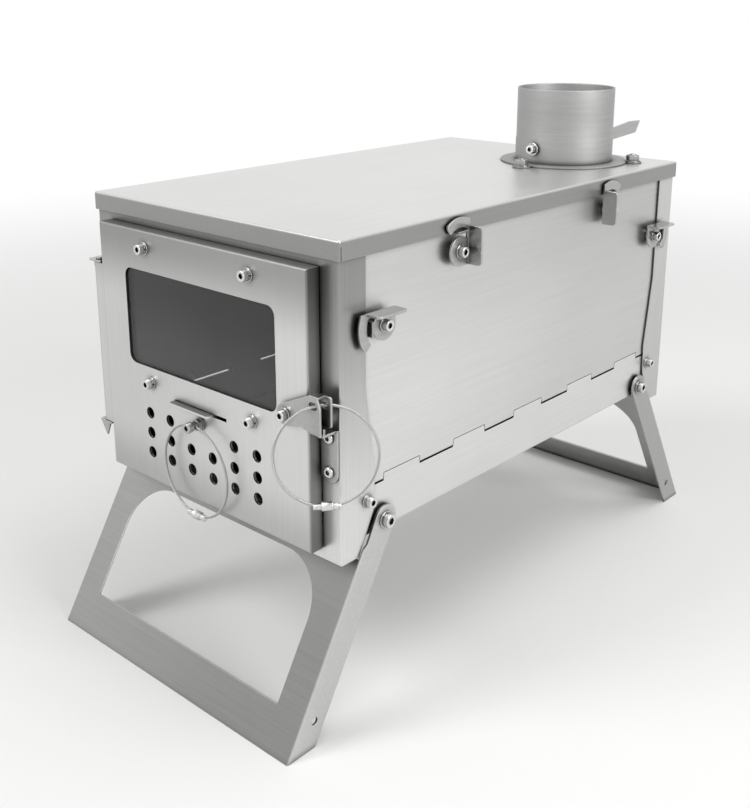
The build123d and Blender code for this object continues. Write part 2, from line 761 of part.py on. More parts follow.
def hinge_ears():
    """Two ears on the frame that hold the pin; one ends in a turned-down lip, one in a point."""
    x, y = hinge_axis()
    far = -half_w - hinge_ear_out
    near = x + hinge_pin_d / 2 + 3.0
    ahead = y - hinge_pin_d / 2 - 1.9
    solids = []
    for z in (z_base + hinge_z1 + edge_gap, z_base + hinge_z0 - edge_gap - sheet):
        ear = block(far, near, ahead, front_y, z, z + sheet)
        ear = ear - rod((x, y, z - 1), (0, 0, 1), hinge_pin_d + 2 * hole_gap, 3 * sheet)
        corners = ear.edges().filter_by(Axis.Z).sort_by(Axis.Y)[:2]
        solids.append(fillet(corners, 1.0))
    upper, lower = solids
    z = z_base + hinge_z1 + edge_gap + sheet
    upper = upper + block(far, far + sheet, y, front_y, z - hinge_lip, z)
    z = z_base + hinge_z0 - edge_gap - sheet / 2
    point = make_face(Polyline((far + 1.0, z), (near - 1.0, z), (near - 3.0, z - hinge_gusset), close=True))
    lower = lower + extrude(face_y(front_y) * point, amount=sheet)
    point = make_face(Polyline((far + 1.0, z), (near - 1.0, z), (x, z - hinge_gusset), close=True))
    lower = lower + extrude(face_y(ahead + sheet) * point, amount=sheet)
    return [upper, lower - rod((x, y, z - 1.2), (0, 0, 1), hinge_pin_d + 1.4, 1.2 - sheet / 2)]


def window_glass():
    z0 = z_base + window_z0 - glass_lap
    z1 = z_base + window_z1 + glass_lap
    y = door_y + sheet
    return block(-glass_x, glass_x, y, y + glass_t, z0, z1)


def glass_retainer():
    """Frame plate behind the glass, held by the four door screws."""
    y = door_y + sheet + glass_t
    z0 = z_base + door_screw_z0 - 4.5
    z1 = z_base + door_screw_z1 + 4.5
    shape = Pos(0, (z0 + z1) / 2) * RectangleRounded(2 * glass_x, z1 - z0, 3.0)
    mid_z = z_base + (window_z0 + window_z1) / 2
    shape = shape - Pos(0, mid_z) * RectangleRounded(window_w, window_z1 - window_z0, window_r)
    notch = 12.0
    for sx in (-1, 1):
        for z in (z0, z1):
            shape = shape - Pos(sx * glass_x, z) * Rectangle(2 * notch, notch / 2)
    for x, z in door_screw_points():
        shape = shape - Pos(x, z) * Circle(screw_d / 2 + hole_gap)
    # a slot leaves room for the door latch's screw
    shape = shape - Pos(latch_x, z_base + latch_z) * Rectangle(14, 14)
    return extrude(face_y(y + sheet) * shape, amount=sheet)


def door_screws():
    """Screws with a spring ring and a flat washer, spacers behind the face, and nuts."""
    solids = []
    back = door_y + sheet + glass_t + sheet
    for x, z in door_screw_points():
        seat = (x, door_y, z)
        under = ring(seat, (0, -1, 0), washer_d, screw_d, washer_t)
        under = under + ring(step(seat, (0, -1, 0), washer_t), (0, -1, 0), 5.6, screw_d, 0.9)
        screw = socket_screw(step(seat, (0, -1, 0), washer_t + 0.9), (0, -1, 0),
                             washer_t + 0.9 + back - door_y + 2.6)
        sleeve = ring((x, door_y + sheet, z), (0, 1, 0), 5.6, screw_d, glass_t)
        solids += [screw + under, sleeve, nut((x, back, z), (0, 1, 0))]
    return solids


def slider_guides():
    """Angle strips inside the door that hold the slider against its face."""
    y = door_y + sheet
    t = 1.0
    low_x = glass_x - 3.0
    high_x = glass_x - 1.0
    z_low = z_base + vent_z - (vent_rows - 1) * vent_pitch_z - 7.2
    solids = []
    low = block(-low_x, low_x, y, y + t, z_low - 3.2, z_low - 0.2)
    solids.append(low + block(-low_x, low_x, y + t + 0.1, y + t + 0.9, z_low - 3.2, z_low + 2.6)
                  + block(-low_x, low_x, y + t, y + t + 0.2, z_low - 3.2, z_low - 0.2))
    z_high = z_base + slot_z - 1.3
    for sx in (-1, 1):
        a = sx * (slot_half + 5.2)
        b = sx * high_x
        solids.append(block(a, b, y, y + t + 0.9, z_high + 0.2, z_high + 3.0)
                      + block(a, b, y + t + 0.1, y + t + 0.9, z_high - 2.6, z_high + 3.0))
    return solids


def air_slider():
    """Slide plate with the door's hole pattern; a lip stands out through the slot."""
    y = door_y + sheet + 0.05
    t = 0.9
    z_low = z_base + vent_z - (vent_rows - 1) * vent_pitch_z - 7.0
    z_high = z_base + slot_z - 1.3
    half = vent_pitch_x * (vent_columns - 1) / 2 + 6.6
    shape = Pos(0, (z_low + z_high) / 2) * RectangleRounded(2 * half, z_high - z_low, 1.5)
    for x, z in vent_points():
        shape = shape - Pos(x, z) * Circle(vent_d / 2)
    shape = shape - Pos(-slider_travel / 2, z_base + pull_z) * SlotOverall(slider_travel + 9.0, 8.0)
    plate = extrude(face_y(y + t) * shape, amount=t)
    lip_x = -slot_half + 0.35
    z_lip = z_base + slot_z - slot_h / 2 + 0.35
    riser = block(lip_x, lip_x + lip_w, y, y + t, z_high - 2, z_lip + 1.2)
    lip = block(lip_x, lip_x + lip_w, door_y - lip_out, y + t, z_lip, z_lip + 1.2)
    lip = fillet(lip.edges().filter_by(Axis.Z).sort_by(Axis.Y)[:2], 2.0)
    return plate + riser + lip


def pull_post():
    """Screw post of the door pull: washers, a cross-bored neck and a socket head."""
    seat = (0, door_y, z_base + pull_z)
    out = (0, -1, 0)
    post = ring(seat, out, washer_d, screw_d, 0.8)
    post = post + hexagon(step(seat, out, 0.8), out, nut_d, 2.2)
    neck_start = step(seat, out, 3.0)
    post = post + rod(neck_start, out, 4.6, 3.4)
    post = post + socket_screw(step(neck_start, out, 3.4), out, 3.4 + 3.0 + sheet + 3.2)
    cross = (-6, door_y - pull_out, z_base + pull_z)
    post = post - rod(cross, (1, 0, 0), wire_d + 0.5, 12)
    inside = (0, door_y + sheet, z_base + pull_z)
    return [post, nut(inside, (0, 1, 0), screw_d, nut_d, 2.0)]


def wire_ring(top, turn, r, tilt=0.0):
    """A ring of wire hanging from its top point, and the screw barrel that closes it."""
    turn = math.radians(turn)
    tilt = math.radians(tilt)
    out = Vector(math.sin(turn), -math.cos(turn), 0)
    rise = Vector(0, 0, math.cos(tilt)) - out * math.sin(tilt)
    plane = Plane(origin=Vector(*top) - rise * r,
                  x_dir=(math.cos(turn), math.sin(turn), 0),
                  z_dir=out * math.cos(tilt) + Vector(0, 0, math.sin(tilt)))
    wire = plane.location * Torus(r, wire_d / 2)
    dip = plane.location * (Pos(0, -r, 0) * Rot(0, 90, 0) * Cylinder(barrel_d / 2, barrel_l))
    grip = plane.location * (Pos(0, -r, 0) * Rot(0, 90, 0) * Cylinder(grip_d / 2, grip_l))
    bore = plane.location * Torus(r, wire_d / 2 + 0.02)
    return wire, (dip + grip) - bore


# Door latch and its catch on the frame
def door_latch():
    """Arm off the door's face, a web over the door's edge and an ear behind the catch lip."""
    y_in = door_y - arm_off
    z = z_base + latch_z
    knee_x = door_w / 2 - sheet / 2
    arm = make_face(Polyline(
        (latch_x + 1.5, z - 5.2),
        (knee_x, z - 2.6),
        (knee_x, z_base + drop_z + 0.8),
        (hook_x1 - 3.0, z_base + drop_z - 0.8),
        (hook_x1 - 3.0, z_base + hook_z1 - 5.0),
        (hook_x1 - 5.0, z_base + hook_z1),
        (hook_x1 - 9.5, z_base + hook_z1),
        (latch_x - 1.5, z + 5.2),
        close=True,
    ))
    arm = arm + Pos(latch_x, z) * Circle(5.4) - Pos(latch_x, z) * Circle(screw_d / 2 + hole_gap)
    # the ring also passes through the arm, where its plane crosses it
    turn = math.radians(ring_turn)
    ahead = arm_off + sheet / 2 + door_depth - ear_y + sheet / 2
    wire_x = latch_ring_x - ahead / math.tan(turn)
    arm = arm - Pos(wire_x + 0.2, z_base + latch_ring_z - 0.3) * SlotOverall(5.4, 3.8)
    plate = extrude(face_y(y_in) * arm, amount=sheet)
    ear_out = front_y - ear_y
    web = block(hook_x0, hook_x1 - 4.0, y_in - sheet, ear_out + sheet,
                z_base + hook_z1 - sheet, z_base + hook_z1)
    z0 = z_base + hook_z0
    z1 = z_base + hook_z1
    ear = Pos((hook_x0 + hook_x1) / 2, (z0 + z1) / 2) * RectangleRounded(
        hook_x1 - hook_x0, z1 - z0, 1.2)
    ear = ear - Pos(latch_ring_x, z_base + latch_ring_z) * SlotOverall(4.0, 3.0)
    ear = extrude(face_y(ear_out + sheet) * ear, amount=sheet)
    return plate + web + ear


def latch_pivot():
    """Spacer, washers, screw and nut of the door latch."""
    seat = (latch_x, door_y, z_base + latch_z)
    out = (0, -1, 0)
    spacer = ring(seat, out, washer_d, screw_d, arm_off - 0.05)
    plate = arm_off + sheet + 0.05
    cap = ring(step(seat, out, plate), out, washer_d, screw_d, washer_t)
    screw = socket_screw(step(seat, out, plate + washer_t), out,
                         plate + washer_t + sheet + 4.4, screw_d, head_d, head_h)
    inside = (latch_x, door_y + sheet, z_base + latch_z)
    return [spacer, screw + cap, nut(inside, (0, 1, 0))]


def door_catch():
    """Strip on the frame; its upper end is bent out to a shelf with an upturned lip."""
    z0 = z_base + catch_z0
    shelf = z_base + shelf_z + 1.2
    w = catch_w / 2
    strip = make_face(Polyline((catch_x - w, z0 + w), (catch_x - w, shelf), (catch_x + w, shelf),
                               (catch_x + w, z0 + w), close=True))
    strip = strip + Pos(catch_x, z0 + w) * Circle(w)
    for i in range(2):
        strip = strip - Pos(catch_x, z_base + catch_screw_z + i * catch_screw_pitch) * Circle(
            screw_d / 2 + hole_gap)
    plate = extrude(face_y(front_y) * strip, amount=catch_t)
    far = front_y - lip_y
    tongue = w - 0.8
    out = block(catch_x - tongue, catch_x + tongue, far, front_y - catch_t + 0.01, shelf - catch_t, shelf)
    up = block(catch_x - tongue, catch_x + tongue, far, far + catch_t, shelf - catch_t, z_base + lip_top_z)
    return plate + out + up


def catch_screws():
    """Two low button head screws with their nuts."""
    solids = []
    for i in range(2):
        z = z_base + catch_screw_z + i * catch_screw_pitch
        seat = (catch_x, front_y - catch_t, z)
        screw = socket_screw(seat, (0, -1, 0), catch_t + sheet + 3.4, screw_d, 5.7, 1.7)
        solids += [screw, nut((catch_x, front_y + sheet, z), (0, 1, 0), screw_d, 5.6)]
    return solids


# Put every node together
save("base_tray", base_tray())
panel = right_side_panel()
save("right_side_panel", panel)
save("left_side_panel", mirror_x(panel))
save("front_frame", front_frame())
save("rear_panel", mirror_y(end_wall()))
save("lid", lid())
save("flue_collar", flue_collar())
save("flue_ring", flue_ring())
save("flue_bolts", *flue_bolts())
save("frame_screws", *frame_screws())
save("leg_pivot_screws", *leg_screws())
save("right_latch_screws", *side_latch_screws(1))
save("left_latch_screws", *side_latch_screws(-1))
save("door_catch", door_catch())
save("catch_screws", *catch_screws())
save("door_hinge_ears", *hinge_ears())

disc, axle, axle_washer, axle_screw, handle = damper()
save("damper_disc", disc)
save("damper_axle", axle)
save("damper_screw", axle_screw + axle_washer)
save("damper_handle", handle)

leg = front_leg()
save("front_leg", leg)
save("rear_leg", mirror_y(leg))

for latch_name, place in latch_places().items():
    save("right_" + latch_name + "_latch", side_latch(place, 1))
    save("left_" + latch_name + "_latch", side_latch(place, -1))

save("door_shell", door_shell())
save("door_hinge_pin", hinge_pin())
save("window_glass", window_glass())
save("glass_retainer", glass_retainer())
save("door_screws", *door_screws())
save("slider_guides", *slider_guides())
save("air_slider", air_slider())
save("door_pull_post", *pull_post())
pull_ring, pull_barrel = wire_ring((0, door_y - pull_out, z_base + pull_z), 0.0, pull_ring_r)
save("door_pull_ring", pull_ring)
save("door_pull_barrel", pull_barrel)
save("door_latch", door_latch())
save("latch_pivot_screw", *latch_pivot())
latch_ring, latch_barrel = wire_ring(
    (latch_ring_x, front_y - ear_y + sheet / 2, z_base + latch_ring_z), ring_turn, ring_r, ring_tilt)
save("latch_ring", latch_ring)
save("latch_barrel", latch_barrel)

os.makedirs("parts", exist_ok=True)
for name, shape in parts.items():
    export_step(shape, "parts/" + name + ".step")
print("nodes", len(parts))
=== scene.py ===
import math

import bmesh
import bpy
import numpy as np
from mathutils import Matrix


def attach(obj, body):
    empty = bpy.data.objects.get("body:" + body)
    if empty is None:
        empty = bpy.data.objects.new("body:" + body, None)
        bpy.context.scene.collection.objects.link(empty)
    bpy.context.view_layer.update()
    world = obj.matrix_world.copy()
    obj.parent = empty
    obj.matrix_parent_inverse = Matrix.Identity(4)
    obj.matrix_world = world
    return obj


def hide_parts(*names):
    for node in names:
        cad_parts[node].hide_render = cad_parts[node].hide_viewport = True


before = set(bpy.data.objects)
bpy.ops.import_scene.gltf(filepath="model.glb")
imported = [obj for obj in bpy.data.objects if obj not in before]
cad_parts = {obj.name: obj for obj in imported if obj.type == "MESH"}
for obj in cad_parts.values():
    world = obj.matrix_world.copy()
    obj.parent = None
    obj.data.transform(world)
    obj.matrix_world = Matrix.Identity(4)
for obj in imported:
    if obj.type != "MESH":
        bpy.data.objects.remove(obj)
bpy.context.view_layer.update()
print("frame loaded:", len(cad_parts), "nodes")

mm = 0.001
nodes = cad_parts
scene = bpy.context.scene

# Places that several pieces share, in metres, in the stove's own frame
stove = {
    "halfW": 90 * mm,        # outside of the frames' side flanges
    "base": 86.5 * mm,       # lower edge of the frames over the floor
    "top": 243.5 * mm,       # top of the lid
    "sheet": 1.0 * mm,
    "panelX": 88.8 * mm,     # outer face of side panels and tray
    "doorY": -161.3 * mm,    # outer face of the door
    "frontY": -153 * mm,     # outer face of the front frame
}
wallIn = stove["panelX"] - stove["sheet"]    # inner face of side panels and tray

outX = (1, 0, 0)
inX = (-1, 0, 0)
outY = (0, -1, 0)
inY = (0, 1, 0)
up = (0, 0, 1)
down = (0, 0, -1)


# Surfaces

weld = {"merge": 2e-7, "sliver": 1e-7}    # points and edges closer or shorter than this are one
uprightShare = 0.9                        # a direction with more of z than this counts as upright


def surface(points, closedU=False, closedV=False):
    # One sheet of quads over a grid of points, rows by columns by xyz.
    # A closed way joins its last line to its first.
    rows, columns = points.shape[:2]
    index = np.arange(rows * columns).reshape(rows, columns)
    if closedU:
        index = np.vstack([index, index[:1]])
    if closedV:
        index = np.hstack([index, index[:, :1]])
    corners = [index[:-1, :-1], index[:-1, 1:], index[1:, 1:], index[1:, :-1]]
    return points.reshape(-1, 3), np.stack(corners, axis=-1).reshape(-1, 4)


def place(points, origin, direction):
    # Turns local z to the direction and moves the points: origin + x * a + y * b + z * direction,
    # where a and b are square to the direction and to each other.
    z = np.array(direction, float)
    z = z / np.linalg.norm(z)
    helper = np.array(up if abs(z[2]) < uprightShare else outX, float)
    a = np.cross(helper, z)
    a = a / np.linalg.norm(a)
    b = np.cross(z, a)
    return np.array(origin) + points[..., :1] * a + points[..., 1:2] * b + points[..., 2:] * z


def along(point, direction, distance):
    # The point moved by a distance in a direction.
    return tuple(p + d * distance for p, d in zip(point, direction))


def mirrored(surfaces):
    # The same surfaces on the stove's other side.
    return [(points * np.array([-1.0, 1.0, 1.0]), quads) for points, quads in surfaces]


def makePiece(name, surfaces, material, body, node, smoothAngle=40, strand=None):
    # Joins the surfaces in one mesh, closes seams and poles, turns the faces outward, and sets
    # the piece on its body in the CAD node's place. Strand is a value for each point.
    points = np.concatenate([s[0] for s in surfaces])
    starts = np.cumsum([0] + [len(s[0]) for s in surfaces[:-1]])
    quads = np.concatenate([s[1] + start for s, start in zip(surfaces, starts)])
    mesh = bpy.data.meshes.new(name)
    mesh.from_pydata(points.tolist(), [], quads.tolist())
    if strand is not None:
        attribute = mesh.attributes.new("strand", "FLOAT", "POINT")
        attribute.data.foreach_set("value", np.concatenate(strand).astype(np.float32))
    work = bmesh.new()
    work.from_mesh(mesh)
    bmesh.ops.remove_doubles(work, verts=work.verts, dist=weld["merge"])
    bmesh.ops.dissolve_degenerate(work, edges=work.edges, dist=weld["sliver"])
    bmesh.ops.recalc_face_normals(work, faces=work.faces)
    work.to_mesh(mesh)
    work.free()
    piece = bpy.data.objects.new(name, mesh)
    scene.collection.objects.link(piece)
    mesh.materials.append(material)
    mesh.shade_smooth()
    mesh.set_sharp_from_angle(angle=math.radians(smoothAngle))
    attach(piece, body)
    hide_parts(node)
    return piece


def lathe(profile, count=48, radiusAt=None):
    # Turns a profile of (radius, height) rows round z.
    # radiusAt(angles, radii) may bend the circle to another outline.
    profile = np.array(profile, float)
    angles = np.linspace(0, 2 * np.pi, count, endpoint=False)[:, None]
    radii = np.repeat(profile[:, :1].T, count, axis=0)
    heights = np.repeat(profile[:, 1:].T, count, axis=0)
    if radiusAt is not None:
        radii = radiusAt(angles, radii)
    return np.stack([radii * np.cos(angles), radii * np.sin(angles), heights], axis=-1)


def hexRadius(angles, acrossCorners):
    # Distance from the centre to a hexagon's side at an angle: half the width across the flats
    # over the cosine of the angle from the nearest flat's middle.
    fromFlat = np.mod(angles, np.pi / 3) - np.pi / 6
    return acrossCorners / 2 * math.cos(np.pi / 6) / np.cos(fromFlat)


def knurl(angles, form):
    # Depth of the knurls at an angle: a cosine wave from nothing to the full depth.
    return form["knurlDepth"] * (0.5 - 0.5 * np.cos(form["knurls"] * angles))


# Screws, nuts and washers: head, socket, corners and bore are widths, the socket's across its corners

screwM3 = {"shank": 3.0 * mm, "head": 5.5 * mm, "high": 3.0 * mm, "socket": 2.9 * mm, "deep": 1.6 * mm,
           "round": 0.35 * mm, "knurls": 30, "knurlDepth": 0.09 * mm, "facets": 120}
screwM4 = {"shank": 4.0 * mm, "head": 7.0 * mm, "high": 3.2 * mm, "socket": 3.7 * mm, "deep": 1.8 * mm,
           "round": 0.4 * mm, "knurls": 34, "knurlDepth": 0.09 * mm, "facets": 132}
buttonScrew = {"shank": 3.0 * mm, "head": 5.7 * mm, "high": 1.7 * mm, "socket": 2.6 * mm, "deep": 1.1 * mm,
               "round": 1.1 * mm, "knurls": 0, "knurlDepth": 0, "facets": 72}
screwForm = {"tipBevel": 0.2 * mm, "seatBevel": 0.15 * mm, "rimRows": 6, "mouthShare": 1.08,
             "mouthDeep": 0.12 * mm, "drillPoint": 0.3 * mm}
nutM3 = {"corners": 6.35 * mm, "thick": 2.4 * mm, "bore": 3.0 * mm}
nutM4 = {"corners": 8.0 * mm, "thick": 3.2 * mm, "bore": 4.0 * mm}
nutForm = {"chamferFrom": 0.97, "chamferAngle": 30, "chamferRows": 5, "boreBevel": 0.3 * mm, "facets": 72}
washerRim = 0.12 * mm
splitForm = {"from": 0.16, "to": 2 * np.pi - 0.06, "rows": 60, "wireShare": 0.9, "riseShare": 0.05}


def screw(seat, out, kind, shankLength):
    # Socket head screw as one turned profile: shank, under-head face, knurled side, rounded rim,
    # then a six-sided socket with a drilled point.
    shank = kind["shank"] / 2
    head = kind["head"] / 2
    socket = kind["socket"] / 2
    high = kind["high"]
    turn = kind["round"]
    tip = screwForm["tipBevel"]
    under = screwForm["seatBevel"]
    profile = [(0, -shankLength), (shank - tip, -shankLength), (shank, tip - shankLength), (shank, 0),
               (head - under, 0), (head, under), (head, (high - turn) / 2)]
    knurlRows = slice(len(profile) - 2, len(profile) + 1)
    profile += [(head - turn + turn * math.cos(t), high - turn + turn * math.sin(t))
                for t in np.linspace(0, np.pi / 2, screwForm["rimRows"])]
    profile += [(socket * screwForm["mouthShare"], high), (socket, high - screwForm["mouthDeep"]),
                (socket, high - kind["deep"]), (0, high - kind["deep"] - screwForm["drillPoint"])]
    socketRows = slice(len(profile) - 3, len(profile) - 1)

    def outline(angles, radii):
        radii = radii.copy()
        radii[:, knurlRows] -= knurl(angles, kind)
        radii[:, socketRows] = hexRadius(angles, kind["socket"])
        return radii

    return surface(place(lathe(profile, kind["facets"], outline), seat, out), closedU=True)


def nut(seat, out, kind):
    # Hexagon nut: at each height the radius is the lesser of the hexagon and a chamfer cone.
    # Its bore closes the ring.
    corners = kind["corners"] / 2
    start = corners * math.cos(np.pi / 6) * nutForm["chamferFrom"]
    thick = kind["thick"]
    rise = (corners - start) * math.tan(math.radians(nutForm["chamferAngle"]))
    low = [(start + (corners - start) * s, rise * s) for s in np.linspace(0, 1, nutForm["chamferRows"])]
    high = [(r, thick - z) for r, z in reversed(low)]
    bore = kind["bore"] / 2
    bevel = nutForm["boreBevel"]
    profile = [(bore, thick - bevel), (bore, bevel), (bore + bevel, 0)] + low + high + [(bore + bevel, thick)]
    sideRows = slice(3, len(profile) - 1)

    def outline(angles, radii):
        radii = radii.copy()
        radii[:, sideRows] = np.minimum(radii[:, sideRows], hexRadius(angles, kind["corners"]))
        return radii

    return surface(place(lathe(profile, nutForm["facets"], outline), seat, out), closedU=True, closedV=True)


def washer(seat, out, outer, inner, thick):
    # Flat ring with softened rims, a closed profile turned round its axis.
    a = inner / 2
    b = outer / 2
    rim = washerRim
    profile = [(a, 0), (b - rim, 0), (b, rim), (b, thick - rim), (b - rim, thick), (a, thick)]
    return surface(place(lathe(profile), seat, out), closedU=True, closedV=True)


def springRing(seat, out, outer, inner, thick):
    # Split ring: a flat four-sided section carried round one turn that rises by a tenth of its
    # thickness. Each end closes on the section's middle.
    angles = np.linspace(splitForm["from"], splitForm["to"], splitForm["rows"])
    wire = thick * splitForm["wireShare"]
    section = np.array([(inner / 2, 0.0), (outer / 2, 0.0), (outer / 2, wire), (inner / 2, wire)])
    cap = np.repeat(section.mean(axis=0)[None, None], len(section), axis=1)
    rows = np.concatenate([cap, np.repeat(section[None], len(angles), axis=0), cap])
    turned = np.concatenate([angles[:1], angles, angles[-1:]])[:, None]
    rise = turned / np.pi * thick * splitForm["riseShare"]
    radii = rows[..., 0]
    points = np.stack([radii * np.cos(turned), radii * np.sin(turned), rows[..., 1] + rise], axis=-1)
    return surface(place(points, seat, out), closedV=True)


def fastener(seat, out, kind, form):
    # A screw on its washer, with a split ring between them where the form has one.
    # Washer and split ring are given as width and thickness.
    wide, lift = form["washer"]
    made = [washer(seat, out, wide, kind["shank"], lift)]
    if "split" in form:
        wide, thick = form["split"]
        made.append(springRing(along(seat, out, lift), out, wide, kind["shank"], thick))
        lift += thick
    made.append(screw(along(seat, out, lift), out, kind, form["shank"]))
    return made


# Nodes and node groups of the materials

mixSockets = {"FLOAT": (2, 3, 0), "RGBA": (6, 7, 2)}    # first, second, result: their names repeat
axes = {"X": outX, "Y": inY, "Z": up}


def newNode(tree, kind, inputs=None, **settings):
    # A shader node with its settings. An input, by name or number, takes a value or another output.
    node = tree.nodes.new("ShaderNode" + kind)
    for name, value in settings.items():
        setattr(node, name, value)
    for name, value in (inputs or {}).items():
        if isinstance(value, bpy.types.NodeSocket):
            tree.links.new(value, node.inputs[name])
        else:
            node.inputs[name].default_value = value
    return node


def maths(tree, operation, first, second=0.0, clamp=False):
    # What a Math node makes of one or two values.
    node = newNode(tree, "Math", {0: first, 1: second}, operation=operation, use_clamp=clamp)
    return node.outputs["Value"]


def dotted(tree, first, second):
    # The dot product of two vectors.
    return newNode(tree, "VectorMath", {0: first, 1: second}, operation="DOT_PRODUCT").outputs["Value"]


def mixed(tree, factor, first, second, kind="RGBA", blend="MIX"):
    # First blended with second by the factor, as colours or as plain values.
    a, b, result = mixSockets[kind]
    node = newNode(tree, "Mix", {0: factor, a: first, b: second}, data_type=kind, blend_type=blend)
    return node.outputs[result]


def between(tree, factor, low, high):
    # Colour or value that runs from low to high with the factor.
    return mixed(tree, factor, low, high, "RGBA" if isinstance(low, tuple) else "FLOAT")


def shared(tree, colour, share, amount=1.0):
    # The colour times a share, as far as the amount says.
    return mixed(tree, amount, colour, share, blend="MULTIPLY")


def newGroup(name, inputs, outputs):
    # A node group whose named sockets start at the given values, with the outputs of its input
    # node and the inputs of its output node.
    group = bpy.data.node_groups.new(name, "ShaderNodeTree")
    for way, sockets in (("INPUT", inputs), ("OUTPUT", outputs)):
        for label, value in sockets.items():
            kind = "NodeSocketVector" if isinstance(value, tuple) else "NodeSocketFloat"
            group.interface.new_socket(name=label, in_out=way, socket_type=kind).default_value = value
    return group, group.nodes.new("NodeGroupInput").outputs, group.nodes.new("NodeGroupOutput").inputs


def groupNode(tree, group, values=None):
    # A node group placed in a material with its own values.
    return newNode(tree, "Group", values, node_tree=group)


grainForm = {"lineDetail": 3.0, "lineRough": 0.6, "cloudScale": 14.0, "cloudDetail": 4.0, "cloudRough": 0.55,
             "bump": 0.02 * mm, "edge": 0.45 * mm, "samples": 6}


def brushedGrainGroup():
    # Fine lines along one direction: noise read on coordinates that are squeezed across the grain
    # and stretched along it. The cloud is plain noise, and the normal bumps the lines on soft edges.
    group, given, wanted = newGroup("brushedGrain", {"Across": (1.0, 1.0, 1.0), "Depth": 0.1},
                                    {"Lines": 0.0, "Cloud": 0.0, "Normal": (0.0, 0.0, 0.0)})
    coords = newNode(group, "TexCoord").outputs["Object"]
    stretch = newNode(group, "VectorMath", {0: coords, 1: given["Across"]}, operation="MULTIPLY")
    lines = newNode(group, "TexNoise", {
        "Vector": stretch.outputs["Vector"], "Scale": 1.0, "Detail": grainForm["lineDetail"],
        "Roughness": grainForm["lineRough"]}).outputs["Fac"]
    cloud = newNode(group, "TexNoise", {
        "Vector": coords, "Scale": grainForm["cloudScale"], "Detail": grainForm["cloudDetail"],
        "Roughness": grainForm["cloudRough"]}).outputs["Fac"]
    softEdge = newNode(group, "Bevel", {"Radius": grainForm["edge"]}, samples=grainForm["samples"])
    bump = newNode(group, "Bump", {"Distance": grainForm["bump"], "Strength": given["Depth"], "Height": lines,
                                   "Normal": softEdge.outputs["Normal"]})
    group.links.new(lines, wanted["Lines"])
    group.links.new(cloud, wanted["Cloud"])
    group.links.new(bump.outputs["Normal"], wanted["Normal"])
    return group


wearAndHighlightForm = {"samples": 6, "sharpen": 6.0, "patchScale": 160.0}


def edgeWearAndHighlightGroup():
    # Bright worn edges, which also paint a highlight on the edges: how far a rounded normal leaves the flat
    # one, sharpened and broken up by noise.
    group, given, wanted = newGroup("edgeWearAndHighlight", {"Width": 0.6 * mm, "Amount": 0.6}, {"Mask": 0.0})
    bevel = newNode(group, "Bevel", {"Radius": given["Width"]}, samples=wearAndHighlightForm["samples"])
    flat = newNode(group, "NewGeometry").outputs["Normal"]
    away = maths(group, "SUBTRACT", 1.0, dotted(group, bevel.outputs["Normal"], flat))
    strong = maths(group, "MULTIPLY", away, wearAndHighlightForm["sharpen"], clamp=True)
    coords = newNode(group, "TexCoord").outputs["Object"]
    patch = newNode(group, "TexNoise", {"Vector": coords, "Scale": wearAndHighlightForm["patchScale"]}).outputs["Fac"]
    broken = maths(group, "MULTIPLY", strong, patch)
    group.links.new(maths(group, "MULTIPLY", broken, given["Amount"], clamp=True), wanted["Mask"])
    return group


facingIn = -2 * mm    # a face counts as turned to the firebox from here down


def innerSideGroup():
    # Where painted shade goes, on faces turned to the firebox: there the normal dotted with the way from the
    # firebox's middle is negative. Within is half the firebox's width.
    starting = {"Middle": (0.0, 0.0, 0.16), "Within": 89.5 * mm}
    group, given, wanted = newGroup("innerSide", starting, {"Mask": 0.0})
    coords = newNode(group, "TexCoord").outputs
    away = newNode(group, "VectorMath", {0: coords["Object"], 1: given["Middle"]}, operation="SUBTRACT")
    inward = maths(group, "LESS_THAN", dotted(group, coords["Normal"], away.outputs["Vector"]), facingIn)
    split = newNode(group, "SeparateXYZ", {0: coords["Object"]})
    across = maths(group, "ABSOLUTE", split.outputs["X"])
    inside = maths(group, "LESS_THAN", across, given["Within"])
    group.links.new(maths(group, "MULTIPLY", inward, inside), wanted["Mask"])
    return group


def paintedShadingRampGroup():
    # Painted shading, darker or lighter along an axis: a share that runs from First to Last, a smooth step,
    # between Start and End, of the point dotted with the direction Along.
    starting = {"Along": up, "Start": 0.0, "End": 1.0, "First": 1.0, "Last": 1.0}
    group, given, wanted = newGroup("paintedShadingRamp", starting, {"Share": 0.0})
    coords = newNode(group, "TexCoord").outputs["Object"]
    ramp = newNode(group, "MapRange", {
        "Value": dotted(group, coords, given["Along"]), "From Min": given["Start"], "From Max": given["End"],
        "To Min": given["First"], "To Max": given["Last"]}, interpolation_type="SMOOTHSTEP")
    group.links.new(ramp.outputs["Result"], wanted["Share"])
    return group


openShare = {"closed": 0.30, "free": 0.92, "samples": 6}    # of the half dome, from full painted shade to none


def paintedCreviceShadeGroup():
    # Painted shade in corners and hollows: the open share of the half dome over a point, stretched and
    # lifted to a floor.
    group, given, wanted = newGroup("paintedCreviceShade", {"Reach": 4 * mm, "Floor": 0.15}, {"Share": 0.0})
    shade = newNode(group, "AmbientOcclusion", {"Distance": given["Reach"]}, samples=openShare["samples"])
    ramp = newNode(group, "MapRange", {"Value": shade.outputs["AO"], "From Min": openShare["closed"],
                                       "From Max": openShare["free"], "To Min": given["Floor"]})
    group.links.new(ramp.outputs["Result"], wanted["Share"])
    return group


brushedGrain = brushedGrainGroup()
paintedShadingRamp = paintedShadingRampGroup()
paintedCreviceShade = paintedCreviceShadeGroup()
innerSide = innerSideGroup()
edgeWearAndHighlight = edgeWearAndHighlightGroup()
